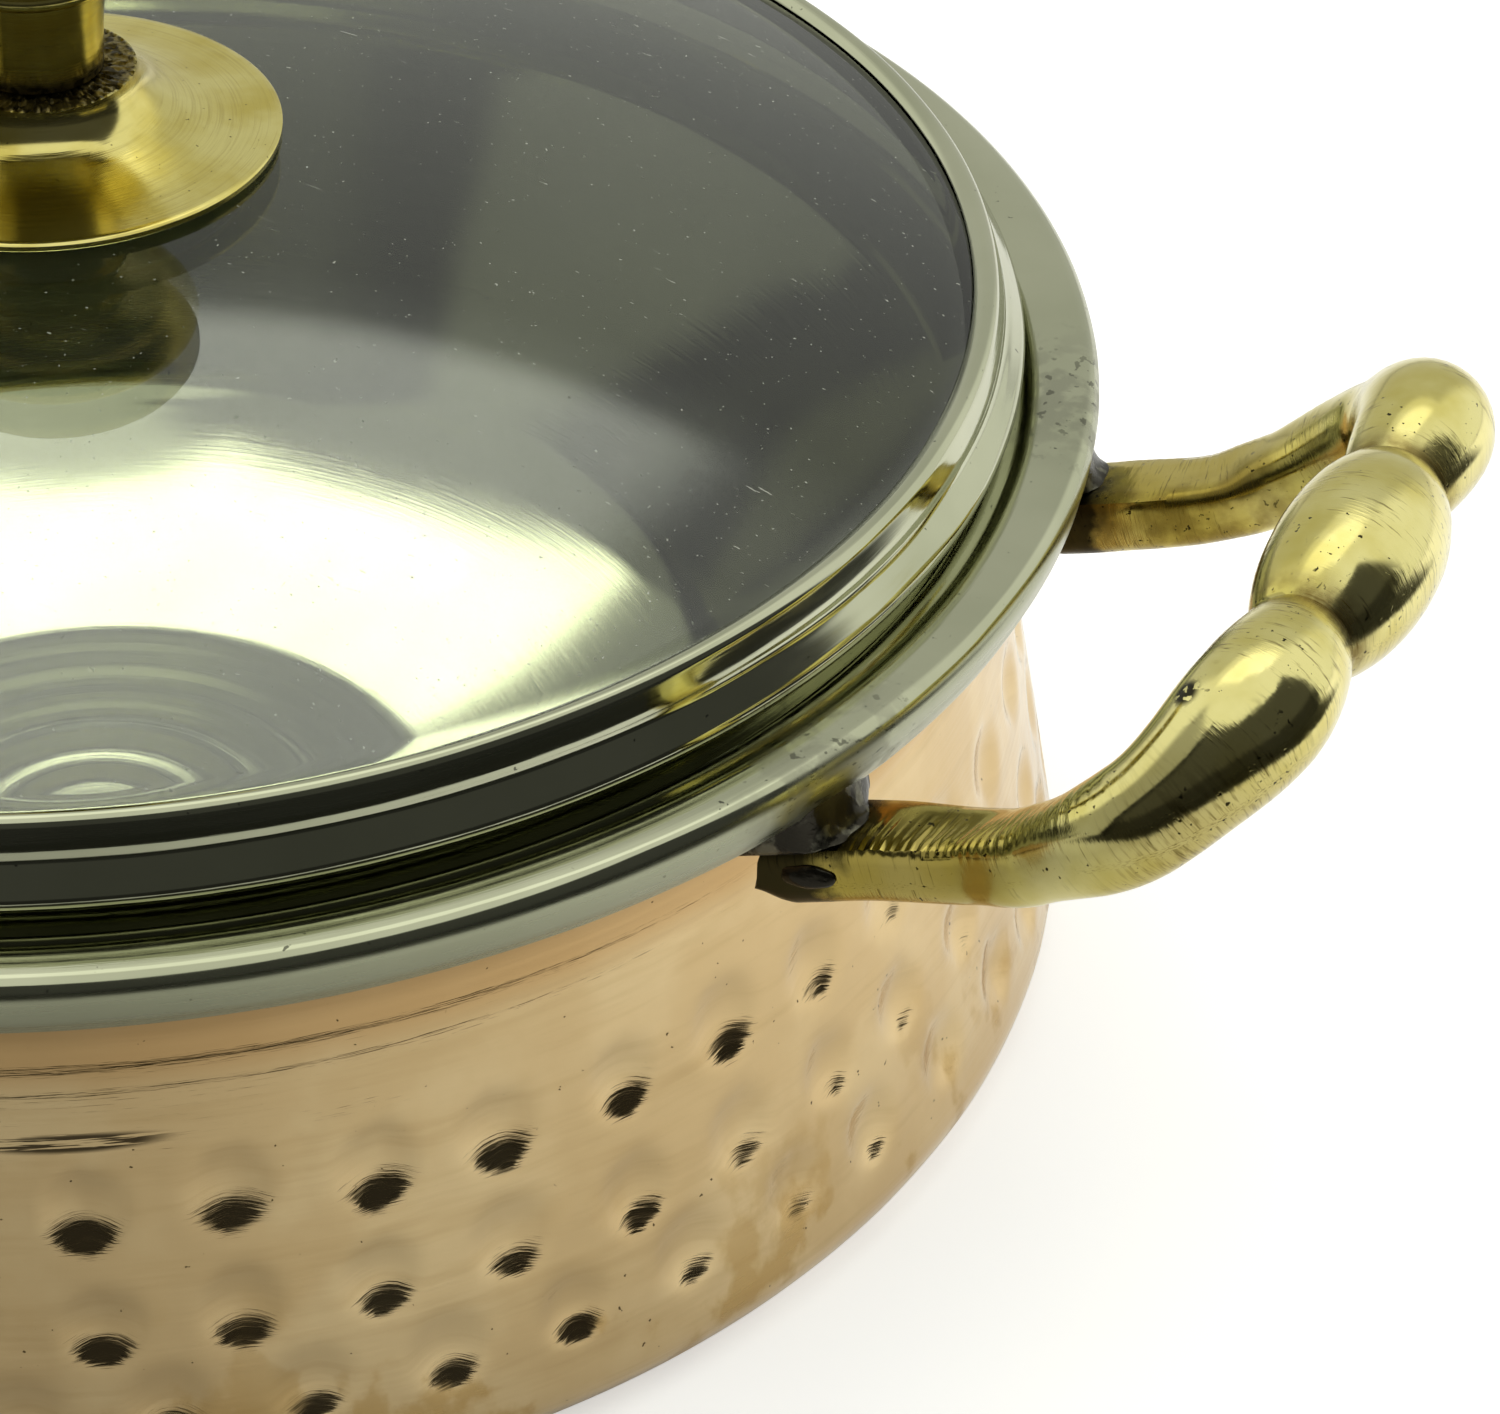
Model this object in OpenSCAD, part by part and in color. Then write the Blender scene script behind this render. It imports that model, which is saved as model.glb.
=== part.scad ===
// Handi pot: a hammered copper shell round a smooth steel bowl, with two cast brass
// handles soldered under the rolled rim and a domed glass lid with a turned brass knob.
// Millimetres, +Z up. The origin is the middle of the base and the handles lie along X.

/* [Pot] */
// Outer diameter over the rolled rim
rim_d = 180; // [160:1:210]
// Height of the pot to the top of its rim
pot_h = 58; // [50:0.5:80]
// How far the belly's widest radius, low down, lies inside the rim's
belly_inset = 1.2; // [-10:0.1:6]
// How far the copper neck lies inside the rim's radius
neck_inset = 8.2; // [5:0.1:17]
// Height from the neck up to the top of the rim
neck_drop = 13; // [10:0.1:16]
// Radius of the bottom corner of the belly
base_corner = 6; // [3:0.5:15]
// Wall of the copper shell
copper_t = 0.9; // [0.6:0.1:1.5]
// Wall of the steel bowl
steel_t = 0.6; // [0.4:0.1:1.2]
// Air gap between shell and bowl at the floor
air_gap = 2.4; // [1:0.1:6]
// Radius of the flat floor inside the bowl
bowl_flat_r = 31; // [10:0.5:45]
// Radius of the dish round the flat floor, where the bowl's wall begins
dish_r = 59.5; // [50:0.5:70]
// Rise of the dish from the flat floor to the wall
dish_rise = 10.1; // [5:0.1:16]
// Slope at which the dish leaves the flat floor, in degrees
dish_slope = 12; // [0:1:18]
// Length of the soft corner between dish and wall, each way
dish_corner = 3; // [1:0.5:6]

/* [Rim] */
// Radius of the roll along the outer edge of the rim
roll_r = 1.7; // [1.2:0.1:2.4]
// Depth of the outer lip of the rim, from its top
lip_h = 5.2; // [4:0.1:7]
// Inward lean of the outer lip
lip_lean = 1.1; // [0.4:0.1:1.6]
// Radius of the flare that carries the lid
flare_r = 7.1; // [5:0.1:8]

/* [Hammering] */
// Dimples in one row round the belly
dimples = 49; // [36:1:60]
// Rows of dimples above the lowest one
upper_rows = 2; // [0:1:2]
// Height of the lowest row above the base
dimple_z = 11.7; // [8:0.1:14]
// Distance from the lowest row to the next
low_row_gap = 8.1; // [8:0.1:12]
// Distance between the upper rows
dimple_row_pitch = 10.3; // [8:0.1:12]
// Diameter of a dimple
dimple_d = 7; // [4:0.1:8]
// Depth of a dimple
dimple_depth = 0.5; // [0.2:0.05:0.5]
// Turn of the upper rows round the pot
dimple_turn = 6.8; // [0:0.1:7]
// Turn of the lowest row against the others, in parts of a step
low_row_turn = 0.45; // [0:0.05:0.9]

/* [Lid] */
// How far the steel band round the glass lies inside the rim's radius
band_inset = 6.6; // [5:0.1:8]
// Height of the band above its bead
band_h = 6.8; // [6:0.1:9]
// Thickness of the glass
glass_t = 4; // [3:0.1:5]
// Radius of the dome of the glass
crown_r = 250; // [200:5:400]
// Hole through the glass
glass_hole_d = 8; // [7:0.5:10]
// How far the skirt, which reaches down into the rim, lies inside the rim's radius
skirt_inset = 8.6; // [8.2:0.1:11]
// Wall of the skirt
skirt_t = 0.6; // [0.4:0.1:1]

/* [Knob] */
// Diameter of the dished brass foot
foot_d = 40.2; // [30:0.2:50]
// Thickness of the foot at its edge
foot_edge = 0.7; // [0.5:0.1:1.5]
// Rise of the foot from edge to boss
foot_rise = 5.6; // [4:0.1:8]
// Diameter of the boss on top of the foot
boss_d = 16.4; // [14:0.2:20]
// Diameter of the stem where it meets the boss
stem_d = 11; // [9:0.2:13]
// Height of the stem
stem_h = 10; // [6:0.5:16]
// Diameter of the knob's round head
head_d = 29; // [24:0.5:36]
// Height of the round head
head_h = 17; // [12:0.5:24]
// Diameter of the screw that holds the knob
screw_d = 5; // [4:0.5:6]
// Thickness of the pad between foot and glass
pad_t = 0.4; // [0.3:0.1:1]

/* [Handles] */
// Reach of the grip's middle beyond the rim
grip_reach = 26.5; // [22:0.1:34]
// Rise of the grip's middle above the top of the rim
grip_rise = 9.4; // [4:0.1:16]
// Length of the middle bead
bead_len = 22.6; // [20:0.2:26]
// Diameter of the middle bead
bead_d = 13.4; // [12:0.1:16]
// Diameter of the two outer beads
end_bead_d = 11.4; // [10:0.1:14]
// Diameter at the grooves between beads
groove_d = 8.4; // [7:0.1:9.6]
// Distance between the two arms
arm_span = 55; // [52:0.5:60]
// Width of an arm near its foot
arm_w = 7.8; // [6:0.1:9]
// Height of an arm near its foot
arm_t = 6; // [4:0.1:7]
// Depth of the feet below the top of the rim
foot_drop = 12.4; // [11:0.1:14]
// Gap between the feet and the neck, filled with solder
foot_gap = 3.6; // [2:0.1:5]

/* [Hidden] */
$fn = 96;

// Clearance between pieces that are soldered, crimped or laid against each other
seat = 0.1;

rim_r = rim_d / 2;
belly_r = rim_r - belly_inset;
neck_r = rim_r - neck_inset;
neck_z = pot_h - neck_drop;

// Points along an arc from angle a0 to a1, both included
function arc(cx, cz, r, a0, a1, steps = 8) =
    [for (i = [0:steps]) let (a = a0 + (a1 - a0) * i / steps) [cx + r * cos(a), cz + r * sin(a)]];

// Points along the soft curve from a to c that leaves a towards b and reaches c from b
function bend(a, b, c, steps) =
    [for (i = [0:steps]) let (t = i / steps) (1 - t) * (1 - t) * a + 2 * t * (1 - t) * b + t * t * c];

// Unit vector along v
function unit(v) = v / norm(v);

// Direction of a polyline at point i
function heading(p, i) = unit(p[min(i + 1, len(p) - 1)] - p[max(i - 1, 0)]);

// A polyline moved sideways by d, to the left of its direction
function beside(p, d) = [for (i = [0:len(p) - 1]) let (h = heading(p, i)) p[i] + d * [-h[1], h[0]]];

// The list p in reverse order
function flip(p) = [for (i = [len(p) - 1:-1:0]) p[i]];

// Closed section of a sheet of thickness t that lies to the left of the line p
function sheet(p, t) = concat(p, flip(beside(p, t)));

// Copper shell, outer line from the middle of the base up to the flange under the rim.
// The side is a cone, and the flange ends inside the lip of the rim.
side_lean = atan2(belly_r - neck_r, neck_z - base_corner);
flange_r = rim_r - lip_lean - steel_t - 2 * seat;
flange_rise = neck_drop - lip_h - seat;
groove_depth = 0.15;
groove_h = 1.2;
groove_step = 2.1;
groove_z = neck_z - 1.9;
function cone_r(z) = neck_r + (neck_z - z) * tan(side_lean);
function groove_line(z) = [[cone_r(z), z], [cone_r(z) - groove_depth, z + groove_h / 2], [cone_r(z), z + groove_h]];
neck_line = [for (i = [0:8]) let (a = 90 * i / 8)
    [neck_r + (flange_r - neck_r) * (1 - cos(a)), neck_z + flange_rise * sin(a)]];
shell_line = concat(
    [[0, 0]],
    arc(belly_r - base_corner, base_corner, base_corner, -90, side_lean, 8),
    groove_line(groove_z - groove_step),
    groove_line(groove_z),
    neck_line);

// Steel bowl, inner line from the middle of the floor up to the rolled rim
bowl_floor_z = copper_t + air_gap + steel_t;
bowl_neck_r = min(neck_r - copper_t - seat - steel_t, rim_r - roll_r - 1.6 - flare_r);
flare_x = bowl_neck_r + flare_r;
flare_z = pot_h - flare_r;
roll_x = rim_r - roll_r;
roll_z = pot_h - roll_r;
dish_end = [dish_r, bowl_floor_z + dish_rise];
dish_mid = [(bowl_flat_r + dish_r) / 2, bowl_floor_z + (dish_r - bowl_flat_r) / 2 * tan(dish_slope)];
wall_top = [bowl_neck_r, neck_z];
bowl_line = concat(
    [[0, bowl_floor_z]],
    bend([bowl_flat_r, bowl_floor_z], dish_mid, dish_end - dish_corner * unit(dish_end - dish_mid), 10),
    bend(dish_end - dish_corner * unit(dish_end - dish_mid), dish_end,
        dish_end + dish_corner * unit(wall_top - dish_end), 6),
    [wall_top],
    arc(flare_x, flare_z, flare_r, 180, 90, 12),
    arc(roll_x, roll_z, roll_r, 90, -10, 8),
    [[rim_r - lip_lean, pot_h - lip_h]]);

// Height of the flare's surface at radius r
function flare_top(r) = flare_z + sqrt(flare_r * flare_r - pow(flare_x - r, 2));

// Lid, carried by the lower edge of its skirt on the flare
band_r = rim_r - band_inset;
skirt_r = rim_r - skirt_inset;
skirt_z = flare_top(skirt_r) + seat;
bead_r = 1.1;
bead_z = skirt_z + 4.3;
band_top = bead_z + band_h - 1;
glass_r = band_r - 3.1;
glass_edge_z = band_top - 1.3;
lip_in_r = band_r - 4.6;
ledge_t = 0.6;

// Height of the glass's upper face at radius r
function glass_top(r) = glass_edge_z + sqrt(crown_r * crown_r - r * r) - sqrt(crown_r * crown_r - glass_r * glass_r);

// The dome's line at height dz above the upper face, from radius r0 to r1
function dome(r0, r1, dz, steps = 12) =
    [for (i = [0:steps]) let (r = r0 + (r1 - r0) * i / steps) [r, glass_top(r) + dz]];

// Section of the band: lip over the glass, hollow wall, bead, skirt and the ledge under the glass
band_section = concat(
    [[lip_in_r, glass_top(lip_in_r) + seat]],
    [[lip_in_r + 0.1, band_top - 0.5]],
    arc(lip_in_r + 1.2, band_top - 1, 1, 130, 20, 6),
    [[band_r - 1.95, band_top - 2.2]],
    [[band_r - 1.8, band_top - 3.2]],
    [[band_r - 1.1, band_top - 4.1]],
    arc(band_r - bead_r, bead_z, bead_r, 50, -90, 6),
    [[skirt_r + 0.2, bead_z - bead_r]],
    [[skirt_r, bead_z - bead_r - 0.2]],
    [[skirt_r, skirt_z]],
    [[skirt_r - skirt_t, skirt_z]],
    [[skirt_r - skirt_t, glass_top(glass_r) - glass_t - seat - ledge_t - 0.4]],
    [[lip_in_r - 0.8, glass_top(lip_in_r - 0.8) - glass_t - seat - ledge_t]],
    [[lip_in_r - 0.8, glass_top(lip_in_r - 0.8) - glass_t - seat]],
    [[glass_r + seat, glass_top(glass_r) - glass_t - seat]],
    [[glass_r + seat, glass_top(glass_r) + seat]]);

// Knob
screw_r = screw_d / 2;
foot_r = foot_d / 2;
boss_r = boss_d / 2;
stem_r = stem_d / 2;
head_r = head_d / 2;
screw_hole_r = screw_r + 0.3;
foot_edge_z = glass_top(foot_r) + pad_t + foot_edge;
boss_z = foot_edge_z + foot_rise;
stem_top = boss_z + stem_h;
head_top = stem_top + head_h;
button_r = 3.2;
thread_h = 9;
pad_r = foot_r - 2;
washer_r = 8;
rubber_t = 1.5;
washer_t = 1;
screw_head_r = 4.6;
screw_head_h = 2.8;
rubber_z = glass_top(0) - glass_t - seat - rubber_t;
washer_z = rubber_z - washer_t;
screw_head_z = washer_z - screw_head_h;

// Handle: stations of the centre line from the grip's middle to the foot, as [out, along, up].
// Out is measured from the pot's axis, along from the handle's middle, up from the base.
foot_y = arm_span / 2 - 0.8;
foot_z = pot_h - foot_drop;
foot_end_r = neck_r + foot_gap;
foot_x = sqrt(foot_end_r * foot_end_r - foot_y * foot_y);
foot_slope = 0.34;
foot_run = 7.8;
end_bead_y = bead_len / 2 + 10.5;
grip_x = rim_r + grip_reach;
grip_z = pot_h + grip_rise;
bend_x = rim_r + 0.46 * grip_reach;
bend_z = foot_z + 0.39 * (grip_z - foot_z);
STATIONS = [
    [grip_x, 0, grip_z],
    [grip_x - 0.6, bead_len / 2, grip_z - 0.5],
    [grip_x - 1.1, end_bead_y, grip_z - 0.8],
    [grip_x - 6.4, arm_span / 2 + 1.6, grip_z - 6.8],
    [bend_x, arm_span / 2 + 1.3, bend_z],
    [foot_x + 2 * foot_run, arm_span / 2, foot_z + 2 * foot_slope * foot_run],
    [foot_x + foot_run, foot_y, foot_z + foot_slope * foot_run],
    [foot_x, foot_y, foot_z]];
last = len(STATIONS) - 1;
// Half widths, half heights and squareness of the section from the outer bead to the foot
HALF_W = [end_bead_d / 2, 4.5, 3.8, arm_w / 2 - 0.2, arm_w / 2, arm_w / 2 + 0.2];
HALF_T = [end_bead_d / 2, 4.5, 3.5, arm_t / 2, arm_t / 2, arm_t / 2];
SQUARE = [2, 2.2, 3.2, 7, 9, 9];
rings_per_span = 6;

// A value that runs smoothly through the list v, at place s
function eased(v, s) =
    let (i = min(floor(s), len(v) - 2), x = s - i) v[i] + (v[i + 1] - v[i]) * (1 - cos(180 * x)) / 2;

// Radius of a bead at x, 0 at its middle and 1 at the groove
function bead(x, big, small) = big * sqrt(1 - (1 - pow(small / big, 2)) * x * x);

// The section's half size at place s along the half handle, from the list v beyond the outer bead
function half_size(s, v) =
    s < 1 ? bead(s, bead_d / 2, groove_d / 2)
    : s < 2 ? bead(2 - s, end_bead_d / 2, groove_d / 2)
    : eased(v, s - 2);

// A station at index i, mirrored for negative indexes, and continued straight past the foot
function station(i) =
    i < 0 ? [STATIONS[-i][0], -STATIONS[-i][1], STATIONS[-i][2]]
    : i > last ? 2 * STATIONS[last] - STATIONS[last - 1]
    : STATIONS[i];

// Centre line of the half handle at place s, a spline through the stations
function centre(s) =
    let (i = min(floor(s), last - 1), x = s - i,
         a = station(i - 1), b = station(i), c = station(i + 1), d = station(i + 2))
    0.5 * (2 * b + (c - a) * x + (2 * a - 5 * b + 4 * c - d) * x * x + (3 * b - a - 3 * c + d) * x * x * x);
function along(s) = unit(centre(min(s + 0.01, last)) - centre(max(s - 0.01, 0)) + [0, s < 0.01 ? 0.001 : 0, 0]);

// Angles of a section's points: the upper corners, five points between them and a round underside
function ring_angles(corner) = concat(
    [0, corner / 2, corner],
    [for (i = [1:5]) corner + (180 - 2 * corner) * i / 6],
    [180 - corner, 180 - corner / 2, 180],
    [for (i = [1:9]) 180 + 18 * i]);
ring_n = 20;

// One point of a section with half sizes a and b, squareness p above and rounder below
function ring_point(f, a, b, p) =
    let (q = f <= 180 ? p : min(p, 2.6), r = pow(pow(abs(cos(f)) / a, q) + pow(abs(sin(f)) / b, q), -1 / q))
    [r * cos(f), r * sin(f)];

// The point q slid along direction t to the radius at which the feet end
function coped(q, t) =
    let (a = t[0] * t[0] + t[1] * t[1],
         b = q[0] * t[0] + q[1] * t[1],
         c = q[0] * q[0] + q[1] * q[1] - foot_end_r * foot_end_r)
    q + t * (-b - sqrt(b * b - a * c)) / a;

// One ring of the half handle at place s, on the side given by hand, 1 or -1
function ring(s, hand) =
    let (m = centre(s), t = along(s), side = unit(cross(t, [0, 0, 1])), top = cross(side, t),
         a = half_size(s, HALF_W), b = half_size(s, HALF_T), p = s < 2 ? 2 : eased(SQUARE, s - 2),
         angles = ring_angles(atan2(b, a)))
    [for (k = [0:ring_n - 1])
        let (f = angles[k], w = ring_point(f, a, b, p),
             q = m + w[0] * side + w[1] * top, e = s > last - 0.001 ? coped(q, t) : q)
        [e[0], hand * e[1], e[2]]];

handle_steps = last * rings_per_span;
HANDLE_RINGS = concat(
    [for (j = [handle_steps:-1:1]) ring(j / rings_per_span, -1)],
    [for (j = [0:handle_steps]) ring(j / rings_per_span, 1)]);
foot_end = coped(centre(last), along(last));

// A closed skin over a list of rings, with a middle point for the cap at each end
module skin(rings, first_mid, last_mid) {
    n = len(rings[0]);
    m = len(rings);
    points = concat([for (r = rings) each r], [first_mid, last_mid]);
    sides = [for (j = [0:m - 2]) for (k = [0:n - 1])
        let (a = j * n + k, b = j * n + (k + 1) % n)
        each [[a, b, b + n], [a, b + n, a + n]]];
    caps = [for (k = [0:n - 1]) each [[k, m * n, (k + 1) % n], [(m - 1) * n + (k + 1) % n, m * n + 1, (m - 1) * n + k]]];
    polyhedron(points, concat(sides, caps), convexity = 6);
}

// Hammer marks: balls sunk a little way into the cone of the belly
module hammer_marks() {
    ball_r = (pow(dimple_d / 2, 2) + pow(dimple_depth, 2)) / (2 * dimple_depth);
    out = ball_r - dimple_depth;
    for (row = [0:upper_rows])
        for (k = [0:dimples - 1]) {
            z = dimple_z + (row > 0 ? low_row_gap + (row - 1) * dimple_row_pitch : 0);
            step = row > 0 ? k : k + low_row_turn;
            rotate([0, 0, dimple_turn + 360 * step / dimples])
                translate([cone_r(z) + out * cos(side_lean), 0, z + out * sin(side_lean)])
                    sphere(r = ball_r, $fn = 32);
        }
}

module copper_shell() {
    color("#cdb68c")
        difference() {
            rotate_extrude()
                polygon(sheet(shell_line, copper_t));
            hammer_marks();
        }
}

module steel_bowl() {
    color("#b4b8a2")
        rotate_extrude()
            polygon(sheet(bowl_line, -steel_t));
}

module handle() {
    color("#b8ae72")
        skin(HANDLE_RINGS, [foot_end[0], -foot_end[1], foot_end[2]], foot_end);
}

module handle_right() {
    handle();
}

module handle_left() {
    rotate([0, 0, 180])
        handle();
}

// Everything inside the outer face of the pot, with a little room round it
module pot_room() {
    rotate_extrude()
        polygon(concat(
            [[0, neck_z - 12]],
            [[cone_r(neck_z - 12) + seat, neck_z - 12]],
            beside(neck_line, -seat),
            [[rim_r - lip_lean + seat, neck_z + flange_rise - seat]],
            [[rim_r + seat, roll_z]],
            [[rim_r + seat, pot_h]],
            [[0, pot_h]]));
}

// Solder behind and over a foot, between it, the neck and the lip of the rim.
// Hand is 1 or -1, the side of the handle that the foot is on.
module solder(hand) {
    half_t = arm_t / 2 / cos(atan(foot_slope)) + seat;
    half_w = arm_w / 2 + 0.8;
    rim_x = sqrt(rim_r * rim_r - foot_y * foot_y);
    in_x = foot_x - foot_gap - 4;
    out_x = rim_x + 2.4;
    function arm_z(x, dz) = foot_z + (x - foot_x) * foot_slope + dz;
    color("#5d5c56")
        translate([0, hand * foot_y, 0])
            difference() {
                intersection() {
                    rotate([90, 0, 0])
                        linear_extrude(2 * half_w, center = true)
                            polygon([[in_x, foot_z + 1.2], [foot_x - 0.8, arm_z(foot_x, 1.4 - half_t)],
                                     [foot_x + 1, arm_z(foot_x + 1, 0.5 - half_t)], [out_x, arm_z(out_x, half_t)],
                                     [rim_x + 0.4, arm_z(rim_x, half_t) + 1.2], [rim_x - 1.2, roll_z - 1.4],
                                     [in_x, roll_z - 1.4]]);
                    linear_extrude(pot_h)
                        polygon([[in_x, -half_w + 2.4], [foot_x + 5, -half_w], [out_x, -half_w],
                                 [out_x, half_w], [foot_x + 5, half_w], [in_x, half_w - 2.4]]);
                }
                translate([0, -hand * foot_y, 0])
                    pot_room();
                difference() {
                    rotate([90, 0, 0])
                        linear_extrude(4 * half_w, center = true)
                            polygon([[in_x, arm_z(in_x, -2 * half_t)], [out_x + 4, arm_z(out_x + 4, -2 * half_t)],
                                     [out_x + 4, arm_z(out_x + 4, half_t)], [in_x, arm_z(in_x, half_t)]]);
                    translate([0, -hand * foot_y, 0])
                        cylinder(r = foot_end_r - seat, h = pot_h);
                }
            }
}

module solder_right_front() {
    solder(-1);
}

module solder_right_back() {
    solder(1);
}

module solder_left_front() {
    rotate([0, 0, 180])
        solder(1);
}

module solder_left_back() {
    rotate([0, 0, 180])
        solder(-1);
}

module lid_band() {
    color("#b4b8a2")
        rotate_extrude()
            polygon(band_section);
}

module lid_glass() {
    color("#c9d2c4", 0.35)
        rotate_extrude()
            polygon(concat(dome(glass_hole_d / 2, glass_r, 0), flip(dome(glass_hole_d / 2, glass_r, -glass_t))));
}

module knob_foot() {
    color("#b8ae72")
        rotate_extrude()
            polygon(concat(
                dome(screw_hole_r, foot_r, pad_t, 8),
                [for (i = [0:10]) let (a = 9 * i)
                    [boss_r + (foot_r - boss_r) * (1 - sin(a)), foot_edge_z + (foot_rise - 0.4) * (1 - cos(a))]],
                [[boss_r, boss_z]],
                [[screw_hole_r, boss_z]]));
}

module knob_head() {
    color("#b8ae72")
        difference() {
            rotate_extrude()
                polygon(concat(
                    [[0, boss_z + seat]],
                    [[stem_r, boss_z + seat]],
                    [[stem_r + 0.3, boss_z + stem_h * 0.5]],
                    [[stem_r + 0.9, stem_top - 1.6]],
                    arc(stem_r + 1.4, stem_top - 0.8, 0.8, -90, 60, 5),
                    [for (i = [4:16]) let (a = -90 + 180 * i / 18)
                        [head_r * cos(a), stem_top + head_h / 2 + head_h / 2 * sin(a)]],
                    [[button_r - 0.6, head_top - 0.1]],
                    arc(0, head_top, button_r, 10, 90, 6)));
            translate([0, 0, boss_z - 1])
                cylinder(r = screw_r + 0.05, h = thread_h + 2, $fn = 48);
        }
}

module knob_pad() {
    color("#d8d8d0")
        rotate_extrude()
            polygon(concat(
                dome(screw_hole_r, pad_r, 0.05, 6),
                flip(dome(screw_hole_r, pad_r, pad_t - 0.05, 6))));
}

module knob_screw() {
    color("#9a9c98")
        difference() {
            union() {
                translate([0, 0, screw_head_z])
                    cylinder(r = screw_head_r, h = screw_head_h, $fn = 48);
                translate([0, 0, washer_z])
                    cylinder(r = screw_r, h = boss_z + thread_h - washer_z, $fn = 48);
            }
            translate([-screw_head_r, -0.6, screw_head_z - 1])
                cube([2 * screw_head_r, 1.2, 2.2]);
        }
}

module screw_washer() {
    color("#9a9c98")
        translate([0, 0, washer_z])
            difference() {
                cylinder(r = washer_r, h = washer_t, $fn = 48);
                translate([0, 0, -1])
                    cylinder(r = screw_hole_r, h = washer_t + 2, $fn = 48);
            }
}

module glass_washer() {
    color("#3a3a38")
        translate([0, 0, rubber_z])
            difference() {
                cylinder(r = washer_r, h = rubber_t - 0.15, $fn = 48);
                translate([0, 0, -1])
                    cylinder(r = screw_hole_r, h = rubber_t + 2, $fn = 48);
            }
}

copper_shell();
steel_bowl();
handle_right();
handle_left();
solder_right_front();
solder_right_back();
solder_left_front();
solder_left_back();
lid_band();
lid_glass();
knob_foot();
knob_head();
knob_pad();
knob_screw();
screw_washer();
glass_washer();
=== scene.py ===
"""A handi pot: hammered copper round a steel bowl, beaded brass handles and a domed glass lid.

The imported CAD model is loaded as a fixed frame. Each visible piece is turned, swept or softened
again over its solid in finer steps, from the same sizes in millimetres, and gets its real finish.
"""
import math
import random

import bmesh
import bpy
from mathutils import Matrix, Vector, noise


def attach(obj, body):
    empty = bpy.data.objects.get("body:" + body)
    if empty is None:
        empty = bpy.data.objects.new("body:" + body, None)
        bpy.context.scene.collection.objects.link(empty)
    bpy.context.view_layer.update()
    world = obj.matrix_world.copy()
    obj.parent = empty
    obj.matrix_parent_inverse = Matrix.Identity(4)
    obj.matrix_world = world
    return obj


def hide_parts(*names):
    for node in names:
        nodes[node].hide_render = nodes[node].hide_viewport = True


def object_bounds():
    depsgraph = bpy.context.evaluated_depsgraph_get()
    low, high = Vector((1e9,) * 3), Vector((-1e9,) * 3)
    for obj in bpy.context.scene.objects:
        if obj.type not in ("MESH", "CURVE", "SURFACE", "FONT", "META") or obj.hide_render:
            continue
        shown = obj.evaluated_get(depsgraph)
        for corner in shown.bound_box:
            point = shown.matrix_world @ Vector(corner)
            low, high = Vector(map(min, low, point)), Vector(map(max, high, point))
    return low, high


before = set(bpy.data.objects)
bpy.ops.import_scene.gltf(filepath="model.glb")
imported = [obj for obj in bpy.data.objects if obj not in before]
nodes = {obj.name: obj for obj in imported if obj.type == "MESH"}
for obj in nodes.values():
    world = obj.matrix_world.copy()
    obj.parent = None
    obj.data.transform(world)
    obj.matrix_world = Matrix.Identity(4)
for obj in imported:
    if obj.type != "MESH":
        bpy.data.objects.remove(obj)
cad_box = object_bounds()

MM = 0.001
TURN = 2 * math.pi
ON_AXIS = 1e-6  # a radius below this is on the pot's axis

# Sizes of the CAD model, in millimetres
RIM_R = 90.0
POT_H = 58.0
BELLY_R = 88.8
NECK_R = 81.8
NECK_Z = 45.0
BASE_CORNER = 6.0
COPPER_T = 0.9
STEEL_T = 0.6
SKIRT_R = 81.4
SKIRT_Z = 55.72
BAND_R = 83.4
BEAD_Z = SKIRT_Z + 4.3
BAND_TOP = BEAD_Z + 5.8
GLASS_R = BAND_R - 3.1
GLASS_EDGE_Z = BAND_TOP - 1.3
GLASS_T = 4.0
CROWN_R = 250.0
LIP_IN_R = BAND_R - 4.6
FOOT_R = 20.1
BOSS_R = 8.2
STEM_R = 5.5
HANDLE_FOOT_Y = 26.7
BOSS_Z = 83.66


def make_camera():
    """Looks down on the pot from its right front, with the long lens of the photograph."""
    azimuth, elevation, roll = (math.radians(a) for a in (22.9599, 35.9926, 1.3046))
    x, y, z = (c * MM for c in (195.43, -306.18, 279.27))
    ahead = Vector((-math.sin(azimuth) * math.cos(elevation),
                    math.cos(azimuth) * math.cos(elevation), -math.sin(elevation)))
    right = ahead.cross(Vector((0, 0, 1))).normalized()
    right = Matrix.Rotation(-roll, 3, ahead) @ right
    above = right.cross(ahead)
    data = bpy.data.cameras.new("camera")
    data.sensor_width = 36
    data.lens = 116.65
    camera = bpy.data.objects.new("camera", data)
    camera.matrix_world = Matrix((
        (right.x, above.x, -ahead.x, x),
        (right.y, above.y, -ahead.y, y),
        (right.z, above.z, -ahead.z, z),
        (0, 0, 0, 1)))
    bpy.context.scene.collection.objects.link(camera)
    bpy.context.scene.camera = camera


# Lines and meshes

def arc(across, up, radius, first, last, steps):
    """Points of a round stretch of a section, both ends included, angles in degrees."""
    angles = [math.radians(first + (last - first) * i / steps) for i in range(steps + 1)]
    return [(across + radius * math.cos(a), up + radius * math.sin(a)) for a in angles]


def between(start, end, steps):
    """Points of a straight stretch, without its last one."""
    return [tuple(a + (b - a) * i / steps for a, b in zip(start, end)) for i in range(steps)]


def beside(line, gap):
    """The line moved to its left by gap."""
    moved = []
    for i, (r, z) in enumerate(line):
        before, after = line[max(i - 1, 0)], line[min(i + 1, len(line) - 1)]
        dr, dz = after[0] - before[0], after[1] - before[1]
        length = math.hypot(dr, dz)
        moved.append((max(r - gap * dz / length, 0), z + gap * dr / length))
    return moved


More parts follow.
